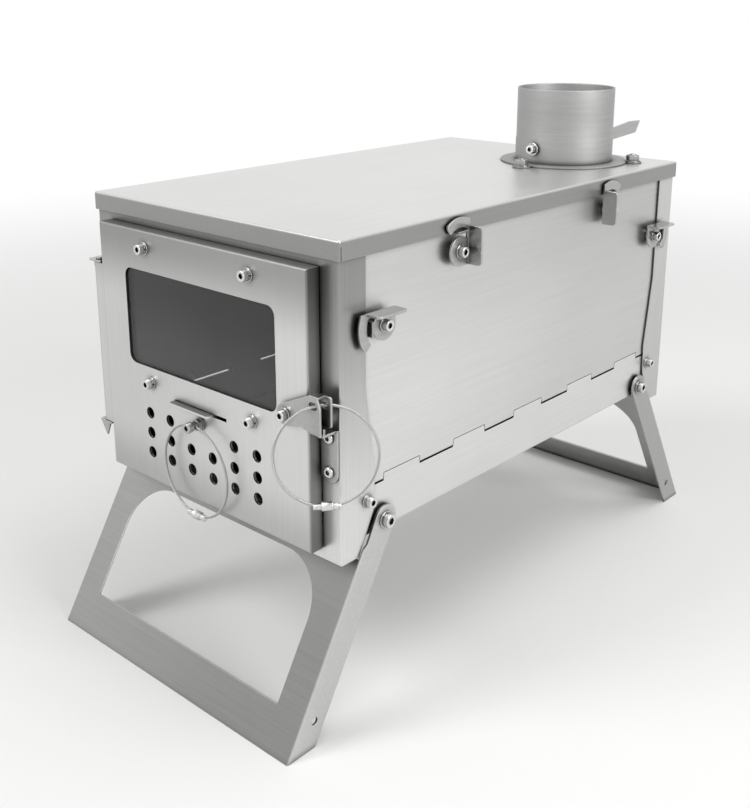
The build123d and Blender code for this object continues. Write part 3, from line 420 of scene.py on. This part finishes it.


# Materials

# across: squeeze of the grain along x, y and z, in 1/m; dark and light: the grain's tones; rough: its range
# inner: share of painted shade, a dark tone, on faces turned to the firebox; skirt and flank: painted shade
# and light, the share of the tone that upright faces and faces to the left and right keep; reach: how far
# painted shade in corners goes
# fades: axis, start and end along it, and the shares of the tone there: painted shading, darker or lighter
# towards one end
plainSheet = {"inner": 0.9, "skirt": 1.0, "flank": 1.0, "reach": 4 * mm, "fades": ()}
sheetLooks = {
    "lidSheet": {
        "across": (700, 14, 700), "dark": (0.66, 0.66, 0.65, 1), "light": (0.75, 0.75, 0.74, 1),
        "rough": (0.30, 0.42), "depth": 0.25, "wearAndHighlight": 0.55, "skirt": 0.46},
    "sideSheet": {
        "across": (700, 12, 700), "dark": (0.66, 0.66, 0.65, 1), "light": (0.76, 0.76, 0.75, 1),
        "rough": (0.32, 0.44), "depth": 0.2, "wearAndHighlight": 0.5,
        "fades": (("Z", 0.15, 0.235, 1.02, 0.86), ("Y", -0.10, 0.06, 1.0, 0.88))},
    "frontSheet": {
        "across": (700, 700, 12), "dark": (0.54, 0.54, 0.53, 1), "light": (0.66, 0.66, 0.65, 1),
        "rough": (0.24, 0.38), "depth": 0.25, "wearAndHighlight": 0.55,
        "fades": (("Z", 0.09, 0.24, 1.25, 0.50),)},
    "rearSheet": {
        "across": (700, 700, 12), "dark": (0.54, 0.54, 0.53, 1), "light": (0.66, 0.66, 0.65, 1),
        "rough": (0.24, 0.38), "depth": 0.25, "wearAndHighlight": 0.55},
    "doorSheet": {
        "across": (700, 700, 14), "dark": (0.60, 0.60, 0.59, 1), "light": (0.68, 0.68, 0.67, 1),
        "rough": (0.34, 0.46), "depth": 0.2, "wearAndHighlight": 0.6, "flank": 0.42,
        "fades": (("Z", 0.125, 0.093, 1.0, 0.74), ("Z", 0.190, 0.228, 1.06, 0.56),
                  ("X", -0.07, 0.06, 0.92, 1.02))},
    "sliderSheet": {
        "across": (14, 700, 700), "dark": (0.62, 0.62, 0.61, 1), "light": (0.72, 0.72, 0.71, 1),
        "rough": (0.34, 0.46), "depth": 0.2, "wearAndHighlight": 0.6, "reach": 0.8 * mm},
    "traySheet": {
        "across": (700, 12, 700), "dark": (0.70, 0.70, 0.69, 1), "light": (0.80, 0.80, 0.79, 1),
        "rough": (0.32, 0.44), "depth": 0.2, "wearAndHighlight": 0.5},
    # the front leg: the leg metal darkened as painted shade, with painted light on its faces to the left and
    # right
    "frontLegPaintedShadeSheet": {
        "across": (14, 700, 700), "dark": (0.29, 0.29, 0.285, 1), "light": (0.37, 0.37, 0.365, 1),
        "rough": (0.30, 0.44), "depth": 0.25, "wearAndHighlight": 0.6, "inner": 0.0, "flank": 2.3,
        "fades": (("X", -0.09, 0.09, 1.06, 0.78),)},
    # the rear leg: the same leg metal at its plain tone, without the front leg's painted shade
    "rearLegSheet": {
        "across": (14, 700, 700), "dark": (0.42, 0.42, 0.41, 1), "light": (0.52, 0.52, 0.51, 1),
        "rough": (0.30, 0.44), "depth": 0.25, "wearAndHighlight": 0.6, "inner": 0.0},
    "latchSheet": {
        "across": (600, 60, 600), "dark": (0.38, 0.38, 0.375, 1), "light": (0.52, 0.52, 0.51, 1),
        "rough": (0.22, 0.34), "depth": 0.2, "wearAndHighlight": 0.8, "inner": 0.0},
    # the glass retainer and slider guides, inside or behind other parts: sheet metal given a dark tone as
    # painted shade
    "paintedShadeInnerSheet": {
        "across": (500, 30, 500), "dark": (0.16, 0.16, 0.155, 1), "light": (0.26, 0.26, 0.25, 1),
        "rough": (0.38, 0.55), "depth": 0.25, "wearAndHighlight": 0.3, "inner": 0.0},
    "collarSheet": {
        "across": (40, 40, 700), "dark": (0.34, 0.34, 0.34, 1), "light": (0.42, 0.42, 0.415, 1),
        "rough": (0.50, 0.62), "depth": 0.25, "wearAndHighlight": 0.5, "inner": 0.0},
}
# cloud tones; the bright tone of worn edges, which also paints a highlight; the dark tone of painted shade
# inside the firebox
sheetFinish = {"cloudDark": (0.72, 0.72, 0.73, 1), "cloudLight": (1.0, 1.0, 0.99, 1), "cloudShare": 0.35,
               "wornAndHighlight": (0.86, 0.86, 0.85, 1), "paintedInnerShade": (0.13, 0.13, 0.125, 1)}


def newMaterial(name):
    # An empty material and its node tree.
    material = bpy.data.materials.new(name)
    material.use_nodes = True
    material.node_tree.nodes.clear()
    return material, material.node_tree


def principled(tree, inputs):
    # Ends a material with a Principled shader.
    shader = newNode(tree, "BsdfPrincipled", inputs)
    newNode(tree, "OutputMaterial", {"Surface": shader.outputs["BSDF"]})


def paintedFacingShading(tree, colour, axis, across, toward):
    # Painted shade and light: the colour times a share that runs from across to toward as a face turns to an
    # axis.
    normal = newNode(tree, "TexCoord").outputs["Normal"]
    split = newNode(tree, "SeparateXYZ", {0: normal})
    facing = maths(tree, "ABSOLUTE", split.outputs[axis])
    return shared(tree, colour, between(tree, facing, across, toward))


def sheetMaterial(name):
    # Brushed sheet: grain, cloud, painted shade and light by facing and place, painted shade in corners, worn
    # edges that also paint a highlight, then painted shade on faces turned to the firebox.
    look = {**plainSheet, **sheetLooks[name]}
    material, tree = newMaterial(name)
    grain = groupNode(tree, brushedGrain, {"Across": look["across"], "Depth": look["depth"]})
    tone = between(tree, grain.outputs["Lines"], look["dark"], look["light"])
    cloud = between(tree, grain.outputs["Cloud"], sheetFinish["cloudDark"], sheetFinish["cloudLight"])
    tone = shared(tree, tone, cloud, sheetFinish["cloudShare"])
    # painted shade on upright faces of the lid's skirt and on the door's faces to the left and right; painted
    # light on the front leg's
    if look["skirt"] != 1:
        tone = paintedFacingShading(tree, tone, "Z", look["skirt"], 1.0)
    if look["flank"] != 1:
        tone = paintedFacingShading(tree, tone, "X", 1.0, look["flank"])
    # painted shading: each sheet's tone grows darker or lighter along an axis
    for axis, start, end, first, last in look["fades"]:
        values = {"Along": axes[axis], "Start": start, "End": end, "First": first, "Last": last}
        tone = shared(tree, tone, groupNode(tree, paintedShadingRamp, values).outputs["Share"])
    # painted shade in corners and hollows
    paintedCornerShade = groupNode(tree, paintedCreviceShade, {"Reach": look["reach"]})
    tone = shared(tree, tone, paintedCornerShade.outputs["Share"])
    # worn edges, brightened also as a painted highlight
    wearAndHighlight = groupNode(tree, edgeWearAndHighlight, {"Amount": look["wearAndHighlight"]})
    tone = mixed(tree, wearAndHighlight.outputs["Mask"], tone, sheetFinish["wornAndHighlight"])
    # painted shade: a dark tone on faces turned to the firebox
    if look["inner"]:
        inner = groupNode(tree, innerSide)
        paintedInnerShade = maths(tree, "MULTIPLY", inner.outputs["Mask"], look["inner"])
        tone = mixed(tree, paintedInnerShade, tone, sheetFinish["paintedInnerShade"])
    rough = between(tree, grain.outputs["Cloud"], *look["rough"])
    principled(tree, {"Base Color": tone, "Roughness": rough, "Metallic": 1.0,
                      "Normal": grain.outputs["Normal"]})
    return material


polish = {"across": (1500, 1500, 1500), "depth": 0.12, "dullShare": 0.8, "reach": 3 * mm, "floor": 0.05,
          "roughShares": (0.7, 1.4)}


def polishedMaterial(name, tone, rough):
    # Bright turned metal: faint turning lines in the roughness, a few dull spots, and painted shade in its
    # sockets and corners.
    material, tree = newMaterial(name)
    grain = groupNode(tree, brushedGrain, {"Across": polish["across"], "Depth": polish["depth"]})
    dull = tuple(c * polish["dullShare"] for c in tone[:3]) + (1,)
    shade = groupNode(tree, paintedCreviceShade, {"Reach": polish["reach"], "Floor": polish["floor"]})
    metal = shared(tree, between(tree, grain.outputs["Cloud"], dull, tone), shade.outputs["Share"])
    smoothest, roughest = polish["roughShares"]
    lines = between(tree, grain.outputs["Lines"], rough * smoothest, rough * roughest)
    principled(tree, {"Base Color": metal, "Roughness": lines, "Metallic": 1.0,
                      "Normal": grain.outputs["Normal"]})
    return material


cableLook = {"groove": (0.03, 0.03, 0.03, 1), "crown": (0.60, 0.60, 0.595, 1), "rough": (0.6, 0.28)}


def cableMaterial():
    # Steel strands: the tone follows the strand attribute, darker as painted shade and duller down in the
    # grooves.
    material, tree = newMaterial("cableStrands")
    strand = newNode(tree, "Attribute", attribute_name="strand").outputs["Fac"]
    tone = between(tree, strand, cableLook["groove"], cableLook["crown"])
    rough = between(tree, strand, *cableLook["rough"])
    principled(tree, {"Base Color": tone, "Roughness": rough, "Metallic": 1.0})
    return material


windowLook = {"smoky": (0.60, 0.60, 0.60, 1), "clear": (0.78, 0.78, 0.78, 1), "rough": (0.0, 0.03),
              "cloudScale": 22.0, "cloudDetail": 5.0, "transmission": 0.97, "bend": 1.35,
              "fade": {"Start": 0.165, "End": 0.205, "First": 1.0, "Last": 0.62}}


def windowMaterial():
    # Smoked glass: a grey tint with a soft cloud of soot, and painted shade that darkens it towards its top.
    material, tree = newMaterial("smokedGlass")
    coords = newNode(tree, "TexCoord").outputs["Object"]
    cloud = newNode(tree, "TexNoise", {"Vector": coords, "Scale": windowLook["cloudScale"],
                                       "Detail": windowLook["cloudDetail"]}).outputs["Fac"]
    tint = between(tree, cloud, windowLook["smoky"], windowLook["clear"])
    # painted shade: the tint darker towards the window's top
    tint = shared(tree, tint, groupNode(tree, paintedShadingRamp, windowLook["fade"]).outputs["Share"])
    rough = between(tree, cloud, *windowLook["rough"])
    principled(tree, {"Base Color": tint, "Roughness": rough, "Metallic": 0.0, "IOR": windowLook["bend"],
                      "Transmission Weight": windowLook["transmission"]})
    return material


sheets = {name: sheetMaterial(name) for name in sheetLooks}
brightSteel = polishedMaterial("brightSteel", (0.74, 0.74, 0.73, 1), 0.17)
greySteel = polishedMaterial("greySteel", (0.50, 0.50, 0.50, 1), 0.26)
cableStrands = cableMaterial()
smokedGlass = windowMaterial()

sheetOf = {
    "lid": "lidSheet", "right_side_panel": "sideSheet", "left_side_panel": "sideSheet",
    "front_frame": "frontSheet", "rear_panel": "rearSheet", "base_tray": "traySheet",
    "front_leg": "frontLegPaintedShadeSheet", "rear_leg": "rearLegSheet", "door_shell": "doorSheet",
    "door_catch": "latchSheet", "door_hinge_ears": "latchSheet", "glass_retainer": "paintedShadeInnerSheet",
    "slider_guides": "paintedShadeInnerSheet", "air_slider": "sliderSheet", "flue_ring": "collarSheet",
    "flue_collar": "collarSheet", "damper_disc": "collarSheet", "damper_handle": "latchSheet",
}
for nodeName, node in nodes.items():
    if nodeName in sheetOf:
        look = sheets[sheetOf[nodeName]]
    elif nodeName.endswith("_latch"):
        look = sheets["latchSheet"]
    elif nodeName == "window_glass":
        look = smokedGlass
    else:
        look = greySteel
    if not node.material_slots:
        node.data.materials.append(None)
    for slotOf in node.material_slots:
        slotOf.link = "OBJECT"
        slotOf.material = look
print("materials set on", len(nodes), "nodes")


# Screws of the body, built again with knurls, chamfers and split rings

frameScrew = {"y": 135 * mm, "z": stove["base"] + 27.5 * mm, "shank": 6.6 * mm,
              "washer": (7.0 * mm, 0.5 * mm), "split": (5.8 * mm, 0.7 * mm)}
fixings = []
for y in (-frameScrew["y"], frameScrew["y"]):
    fixings += fastener((stove["halfW"], y, frameScrew["z"]), outX, screwM3, frameScrew)
    fixings.append(nut((wallIn, y, frameScrew["z"]), inX, nutM3))
makePiece("frameScrewSet", fixings + mirrored(fixings), brightSteel, "stove_body", "frame_screws")

# The leg turns between a spacer on the tray and the washer under the screw's head
legScrew = {"y": 123.5 * mm, "z": stove["base"] + 14 * mm, "inner": 90.35 * mm, "outer": 91.65 * mm,
            "washer": (9 * mm, 0.6 * mm), "shank": 8.2 * mm}
fixings = []
for y in (-legScrew["y"], legScrew["y"]):
    spacer = (stove["panelX"], y, legScrew["z"])
    fixings.append(washer(spacer, outX, legScrew["washer"][0], screwM4["shank"],
                          legScrew["inner"] - stove["panelX"]))
    fixings += fastener((legScrew["outer"], y, legScrew["z"]), outX, screwM4, legScrew)
    fixings.append(nut((wallIn, y, legScrew["z"]), inX, nutM4))
makePiece("legScrewSet", fixings + mirrored(fixings), brightSteel, "stove_body", "leg_pivot_screws")

# Side latches turn between a spacer and a washer as well; off is the gap behind the latch plate
sideLatch = {"ends": (126.5 * mm, stove["base"] + 113.7 * mm), "tops": (71 * mm, 224.7 * mm),
             "off": 3.4 * mm, "play": 0.05 * mm, "washer": (7.0 * mm, 0.5 * mm), "shank": 9.4 * mm}
fixings = []
for row in ("ends", "tops"):
    for sign in (-1, 1):
        y = sign * sideLatch[row][0]
        z = sideLatch[row][1]
        spacer = (stove["panelX"], y, z)
        fixings.append(washer(spacer, outX, sideLatch["washer"][0], screwM3["shank"],
                              sideLatch["off"] - sideLatch["play"]))
        seat = along(spacer, outX, sideLatch["off"] + stove["sheet"] + sideLatch["play"])
        fixings += fastener(seat, outX, screwM3, sideLatch)
        fixings.append(nut((wallIn, y, z), inX, nutM3))
makePiece("rightLatchScrewSet", fixings, brightSteel, "stove_body", "right_latch_screws")
makePiece("leftLatchScrewSet", mirrored(fixings), brightSteel, "stove_body", "left_latch_screws")

catch = {"x": 84 * mm, "zs": (stove["base"] + 47 * mm, stove["base"] + 64 * mm), "thick": 1.2 * mm,
         "shank": 5.4 * mm, "nut": {**nutM3, "corners": 5.6 * mm}}
fixings = []
for z in catch["zs"]:
    seat = (catch["x"], stove["frontY"] - catch["thick"], z)
    fixings.append(screw(seat, outY, buttonScrew, catch["shank"]))
    fixings.append(nut((catch["x"], stove["frontY"] + stove["sheet"], z), inY, catch["nut"]))
makePiece("catchScrewSet", fixings, brightSteel, "stove_body", "catch_screws")

flue = {"x": 35 * mm, "y": 110 * mm, "r": 30 * mm, "footR": 30.3 * mm, "wall": 1.0 * mm,
        "footTop": 257.5 * mm, "taper": 1.5 * mm, "mouth": 289.5 * mm, "below": 239.5 * mm, "rim": 0.2 * mm,
        "footRow": 4 * mm, "mouthRow": 15 * mm, "arcRows": 9, "facets": 192}
flueBolt = {"circle": 43 * mm, "first": -93, "count": 3, "ring": 1.0 * mm, "washer": (9 * mm, 0.8 * mm),
            "r": 2 * mm, "low": -6.3 * mm, "high": 4.6 * mm, "lowBevel": 0.2 * mm, "highBevel": 0.3 * mm,
            "facets": 36}
r, low, high = flueBolt["r"], flueBolt["low"], flueBolt["high"]
boltShank = [(0, low), (r - flueBolt["lowBevel"], low), (r, low + flueBolt["lowBevel"]),
             (r, high - flueBolt["highBevel"]), (r - flueBolt["highBevel"], high), (0, high)]
fixings = []
for turn in range(flueBolt["count"]):
    angle = math.radians(flueBolt["first"]) + 2 * math.pi * turn / flueBolt["count"]
    x = flue["x"] + flueBolt["circle"] * math.cos(angle)
    y = flue["y"] + flueBolt["circle"] * math.sin(angle)
    seat = (x, y, stove["top"] + flueBolt["ring"])
    wide, thick = flueBolt["washer"]
    fixings.append(washer(seat, up, wide, screwM4["shank"], thick))
    fixings.append(nut(along(seat, up, thick), up, nutM4))
    fixings.append(surface(place(lathe(boltShank, flueBolt["facets"]), seat, up), closedU=True))
    fixings.append(nut((x, y, stove["top"] - stove["sheet"]), down, nutM4))
makePiece("flueBoltSet", fixings, greySteel, "stove_body", "flue_bolts")

# Flue collar: one closed profile turned round z, with a round lip and small bevels at its foot
lip = flue["wall"] / 2
bore = flue["r"] - flue["wall"]
collar = [(flue["footR"], flue["below"] + flue["rim"]), (flue["footR"], stove["top"] + flue["footRow"]),
          (flue["footR"], flue["footTop"]), (flue["r"], flue["footTop"] + flue["taper"]),
          (flue["r"], flue["mouth"] - flue["mouthRow"])]
collar += [(flue["r"] - lip + lip * math.cos(t), flue["mouth"] - lip + lip * math.sin(t))
           for t in np.linspace(0, np.pi, flue["arcRows"])]
collar += [(bore, flue["footTop"]), (bore, flue["below"] + flue["rim"]),
           (bore + flue["rim"], flue["below"]), (flue["footR"] - flue["rim"], flue["below"])]
turned = place(lathe(collar, flue["facets"]), (flue["x"], flue["y"], 0), up)
makePiece("flueCollar", [surface(turned, closedU=True, closedV=True)], sheets["collarSheet"], "stove_body",
          "flue_collar", smoothAngle=60)

# The damper's screw, on the end of its axle at the collar's front
axle = {"z": stove["top"] + 10 * mm, "reach": 32.0 * mm, "turn": -4.3, "shank": 0.4 * mm,
        "washer": (8 * mm, 1.0 * mm), "d": 4 * mm}
swing = math.radians(axle["turn"])
front = (math.sin(swing), -math.cos(swing), 0)
seat = along((flue["x"], flue["y"], axle["z"]), front, axle["reach"])
wide, thick = axle["washer"]
fixings = [screw(seat, front, screwM3, axle["shank"]),
           washer(along(seat, front, -thick), front, wide, axle["d"], thick)]
makePiece("damperScrew", fixings, brightSteel, "damper", "damper_screw")
print("body screws and collar made")


# Screws of the door: the window's four, each over a spacer and a nut inside, and the latch's pivot

windowScrew = {"x": 39.5 * mm, "zs": (stove["base"] + 62 * mm, stove["base"] + 134.5 * mm),
               "washer": (7 * mm, 0.5 * mm), "split": (5.6 * mm, 0.9 * mm), "shank": 8.5 * mm,
               "spacer": 5.6 * mm, "glass": 2.5 * mm}
doorIn = stove["doorY"] + stove["sheet"]                       # inner face of the door's sheet
retainerIn = doorIn + windowScrew["glass"] + stove["sheet"]    # inner face of the glass retainer
fixings = []
for x in (-windowScrew["x"], windowScrew["x"]):
    for z in windowScrew["zs"]:
        fixings += fastener((x, stove["doorY"], z), outY, screwM3, windowScrew)
        fixings.append(washer((x, doorIn, z), inY, windowScrew["spacer"], screwM3["shank"],
                              windowScrew["glass"]))
        fixings.append(nut((x, retainerIn, z), inY, nutM3))
makePiece("doorScrewSet", fixings, brightSteel, "door", "door_screws")

doorLatch = {"x": 65.5 * mm, "z": stove["base"] + 73.5 * mm, "off": 2.0 * mm, "play": 0.05 * mm,
             "washer": (7 * mm, 0.5 * mm), "behind": 5.9 * mm}
spacer = (doorLatch["x"], stove["doorY"], doorLatch["z"])
armOut = doorLatch["off"] + stove["sheet"] + doorLatch["play"]
pivot = {**doorLatch, "shank": armOut + doorLatch["behind"]}
fixings = [washer(spacer, outY, pivot["washer"][0], screwM3["shank"], pivot["off"] - pivot["play"])]
fixings += fastener(along(spacer, outY, armOut), outY, screwM3, pivot)
fixings.append(nut((doorLatch["x"], doorIn, doorLatch["z"]), inY, nutM3))
makePiece("doorLatchPivot", fixings, brightSteel, "door", "latch_pivot_screw")
print("door screws made")


# Cable rings: six strands wound round a core, each a tube whose centre turns round the ring's line

cable = {"d": 1.4 * mm, "strands": 6, "sides": 8, "steps": 640, "groove": 0.55}
pull = {"out": 4.7 * mm, "z": stove["base"] + 50 * mm}
rings = {
    "pullRing": {
        "top": (0.0, stove["doorY"] - pull["out"], pull["z"]), "turn": 0.0, "tilt": 0.0, "r": 24.5 * mm,
        "twists": 24, "body": "pull_ring", "node": "door_pull_ring", "barrel": "door_pull_barrel"},
    "latchRing": {
        "top": (87.5 * mm, -159.8 * mm, stove["base"] + 82.5 * mm), "turn": 48.0, "tilt": 4.0, "r": 24 * mm,
        "twists": 24, "body": "latch_ring", "node": "latch_ring", "barrel": "latch_barrel"},
}
barrel = {"sleeveR": 1.6 * mm, "gripR": 2.2 * mm, "half": 6.5 * mm, "gripHalf": 2.6 * mm, "endShare": 0.8,
          "endBevel": 0.25 * mm, "groove": (0.9 * mm, 1.1 * mm, 1.5 * mm, 1.7 * mm), "grooveShare": 0.86,
          "shoulder": (0.15 * mm, 0.1 * mm, -0.2 * mm, -0.35 * mm), "shoulderBevel": 0.25 * mm,
          "knurls": 22, "knurlDepth": 0.14 * mm, "facets": 110}


def ringAxes(ring):
    # The ring's sideways and upward directions in its plane, and the one square to it.
    turn = math.radians(ring["turn"])
    tilt = math.radians(ring["tilt"])
    side = np.array([math.cos(turn), math.sin(turn), 0.0])
    out = np.array([math.sin(turn), -math.cos(turn), 0.0])
    rise = np.array([0, 0, math.cos(tilt)]) - out * math.sin(tilt)
    return side, rise, np.cross(side, rise)


def cableStrand(ring, centre, start, offset, radius):
    # A tube round the circle: its centre stands off the ring's line by offset and turns round it.
    # The value of a point is its distance from the line, 0 in a groove and 1 on a crown.
    side, rise, normal = ringAxes(ring)
    t = np.linspace(0, 2 * np.pi, cable["steps"], endpoint=False)[:, None]
    around = np.linspace(0, 2 * np.pi, cable["sides"], endpoint=False)[None, :]
    wound = start + ring["twists"] * t
    reach = ring["r"] + offset * np.cos(wound) + radius * np.cos(around)
    depth = offset * np.sin(wound) + radius * np.sin(around)
    outward = np.cos(t)[..., None] * side + np.sin(t)[..., None] * rise
    points = centre + reach[..., None] * outward + depth[..., None] * normal
    crown = np.hypot(reach - ring["r"], depth) / (offset + radius)
    value = np.clip((crown - cable["groove"]) / (1 - cable["groove"]), 0, 1)
    return surface(points, closedU=True, closedV=True), value.ravel()


def barrelSurface(centre, axis):
    # Screw barrel turned round its axis: a knurled grip between two grooved sleeves, the second
    # half being the first one turned over.
    sleeve = barrel["sleeveR"]
    grip = barrel["gripR"]
    end = barrel["half"]
    neck = sleeve * barrel["grooveShare"]
    grooveRadii = (sleeve, neck, neck, sleeve)
    shoulderRadii = (sleeve, grip - barrel["shoulderBevel"], grip, grip)
    half = [(0.0, end), (sleeve * barrel["endShare"], end), (sleeve, end - barrel["endBevel"])]
    half += [(radius, end - deep) for radius, deep in zip(grooveRadii, barrel["groove"])]
    half += [(radius, barrel["gripHalf"] + off) for radius, off in zip(shoulderRadii, barrel["shoulder"])]
    gripRows = slice(len(half) - 1, len(half) + 1)
    profile = half + [(radius, -height) for radius, height in reversed(half)]

    def outline(angles, radii):
        radii = radii.copy()
        radii[:, gripRows] -= knurl(angles, barrel)
        return radii

    return surface(place(lathe(profile, barrel["facets"], outline), centre, axis), closedU=True)


for name, ring in rings.items():
    side, rise, normal = ringAxes(ring)
    centre = np.array(ring["top"]) - rise * ring["r"]
    strandR = cable["d"] / 6
    made = [cableStrand(ring, centre, 2 * np.pi * i / cable["strands"], 2 * strandR, strandR)
            for i in range(cable["strands"])]
    made.append(cableStrand(ring, centre, 0.0, 0.0, strandR))
    makePiece(name, [m[0] for m in made], cableStrands, ring["body"], ring["node"],
              smoothAngle=80, strand=[m[1] for m in made])
    makePiece(name + "Barrel", [barrelSurface(centre - rise * ring["r"], side)], brightSteel, ring["body"],
              ring["barrel"], smoothAngle=35)
print("cable rings made")


# Floor, world, lamps and camera

white = (1, 1, 1, 1)
ground = {"half": 12.0, "low": (0.74, 0.74, 0.735, 1), "tone": (0.80, 0.80, 0.79, 1), "patchScale": 3.0,
          "rough": 0.85, "clearFrom": 0.45, "clearTo": 1.5}


def seenRay(tree):
    # 1 for rays from the camera and for those that metal and glass send on: the greatest of the three.
    rays = newNode(tree, "LightPath").outputs
    seen = maths(tree, "MAXIMUM", rays["Is Camera Ray"], rays["Is Glossy Ray"])
    return maths(tree, "MAXIMUM", seen, rays["Is Transmission Ray"])


def floorMaterial():
    # Pale floor that fades, with its distance from the stove, to the plain white of the backdrop.
    material, tree = newMaterial("paleFloor")
    patches = newNode(tree, "TexNoise", {"Scale": ground["patchScale"]}).outputs["Fac"]
    tone = between(tree, patches, ground["low"], ground["tone"])
    shader = newNode(tree, "BsdfPrincipled", {"Base Color": tone, "Roughness": ground["rough"]})
    coords = newNode(tree, "TexCoord").outputs["Object"]
    distance = newNode(tree, "VectorMath", {0: coords}, operation="LENGTH").outputs["Value"]
    fade = newNode(tree, "MapRange", {"Value": distance, "From Min": ground["clearFrom"],
                                      "From Max": ground["clearTo"]}, interpolation_type="SMOOTHSTEP")
    seenFade = maths(tree, "MULTIPLY", fade.outputs["Result"], seenRay(tree))
    clear = newNode(tree, "Emission", {"Color": white})
    blended = newNode(tree, "MixShader", {0: seenFade, 1: shader.outputs["BSDF"],
                                          2: clear.outputs["Emission"]})
    newNode(tree, "OutputMaterial", {"Surface": blended.outputs["Shader"]})
    return material


floorMesh = bpy.data.meshes.new("floor")
floorCorners = np.array([(-1, -1, 0), (1, -1, 0), (1, 1, 0), (-1, 1, 0)], float) * ground["half"]
floorMesh.from_pydata(floorCorners.tolist(), [], [(0, 1, 2, 3)])
floorMesh.materials.append(floorMaterial())
floor = bpy.data.objects.new("floor", floorMesh)
scene.collection.objects.link(floor)

sky = {"soft": 0.55, "seen": 1.0}    # strength on the stove, and where the backdrop itself is seen
world = bpy.data.worlds.new("studio")
scene.world = world
world.use_nodes = True
worldTree = world.node_tree
worldTree.nodes.clear()
soft = newNode(worldTree, "Background", {"Color": white, "Strength": sky["soft"]})
plain = newNode(worldTree, "Background", {"Color": white, "Strength": sky["seen"]})
pick = newNode(worldTree, "MixShader", {0: seenRay(worldTree), 1: soft.outputs["Background"],
                                        2: plain.outputs["Background"]})
newNode(worldTree, "OutputWorld", {"Surface": pick.outputs["Shader"]})

lamps = {
    "key": {"at": (-0.7, -1.3, 1.5), "size": 0.9, "power": 15},
    "top": {"at": (0.5, 0.2, 1.7), "size": 1.0, "power": 9},
    "side": {"at": (1.6, 0.1, 0.9), "size": 0.8, "power": 13},
}
aim = np.array([0.0, 0.0, 0.14])
for name, lamp in lamps.items():
    light = bpy.data.lights.new(name, "AREA")
    light.shape = "DISK"
    light.size = lamp["size"]
    light.energy = lamp["power"]
    holder = bpy.data.objects.new(name, light)
    scene.collection.objects.link(holder)
    holder.location = lamp["at"]
    away = np.array(lamp["at"]) - aim
    tip = math.acos(away[2] / np.linalg.norm(away))
    holder.rotation_euler = (tip, 0, math.atan2(away[1], away[0]) + math.pi / 2)

camera = {"at": (405.2 * mm, -478.8 * mm, 345.2 * mm), "pitch": 74.17, "yaw": 42.07, "focal": 48.07,
          "shiftY": -0.1287, "near": 0.02, "far": 20}
eyeData = bpy.data.cameras.new("eye")
eye = bpy.data.objects.new("eye", eyeData)
scene.collection.objects.link(eye)
eye.location = camera["at"]
eye.rotation_euler = (math.radians(camera["pitch"]), 0, math.radians(camera["yaw"]))
eyeData.lens = camera["focal"]
eyeData.shift_y = camera["shiftY"]
eyeData.clip_start = camera["near"]
eyeData.clip_end = camera["far"]
scene.camera = eye
scene.view_settings.view_transform = "Standard"
print("stage, lamps and camera set")
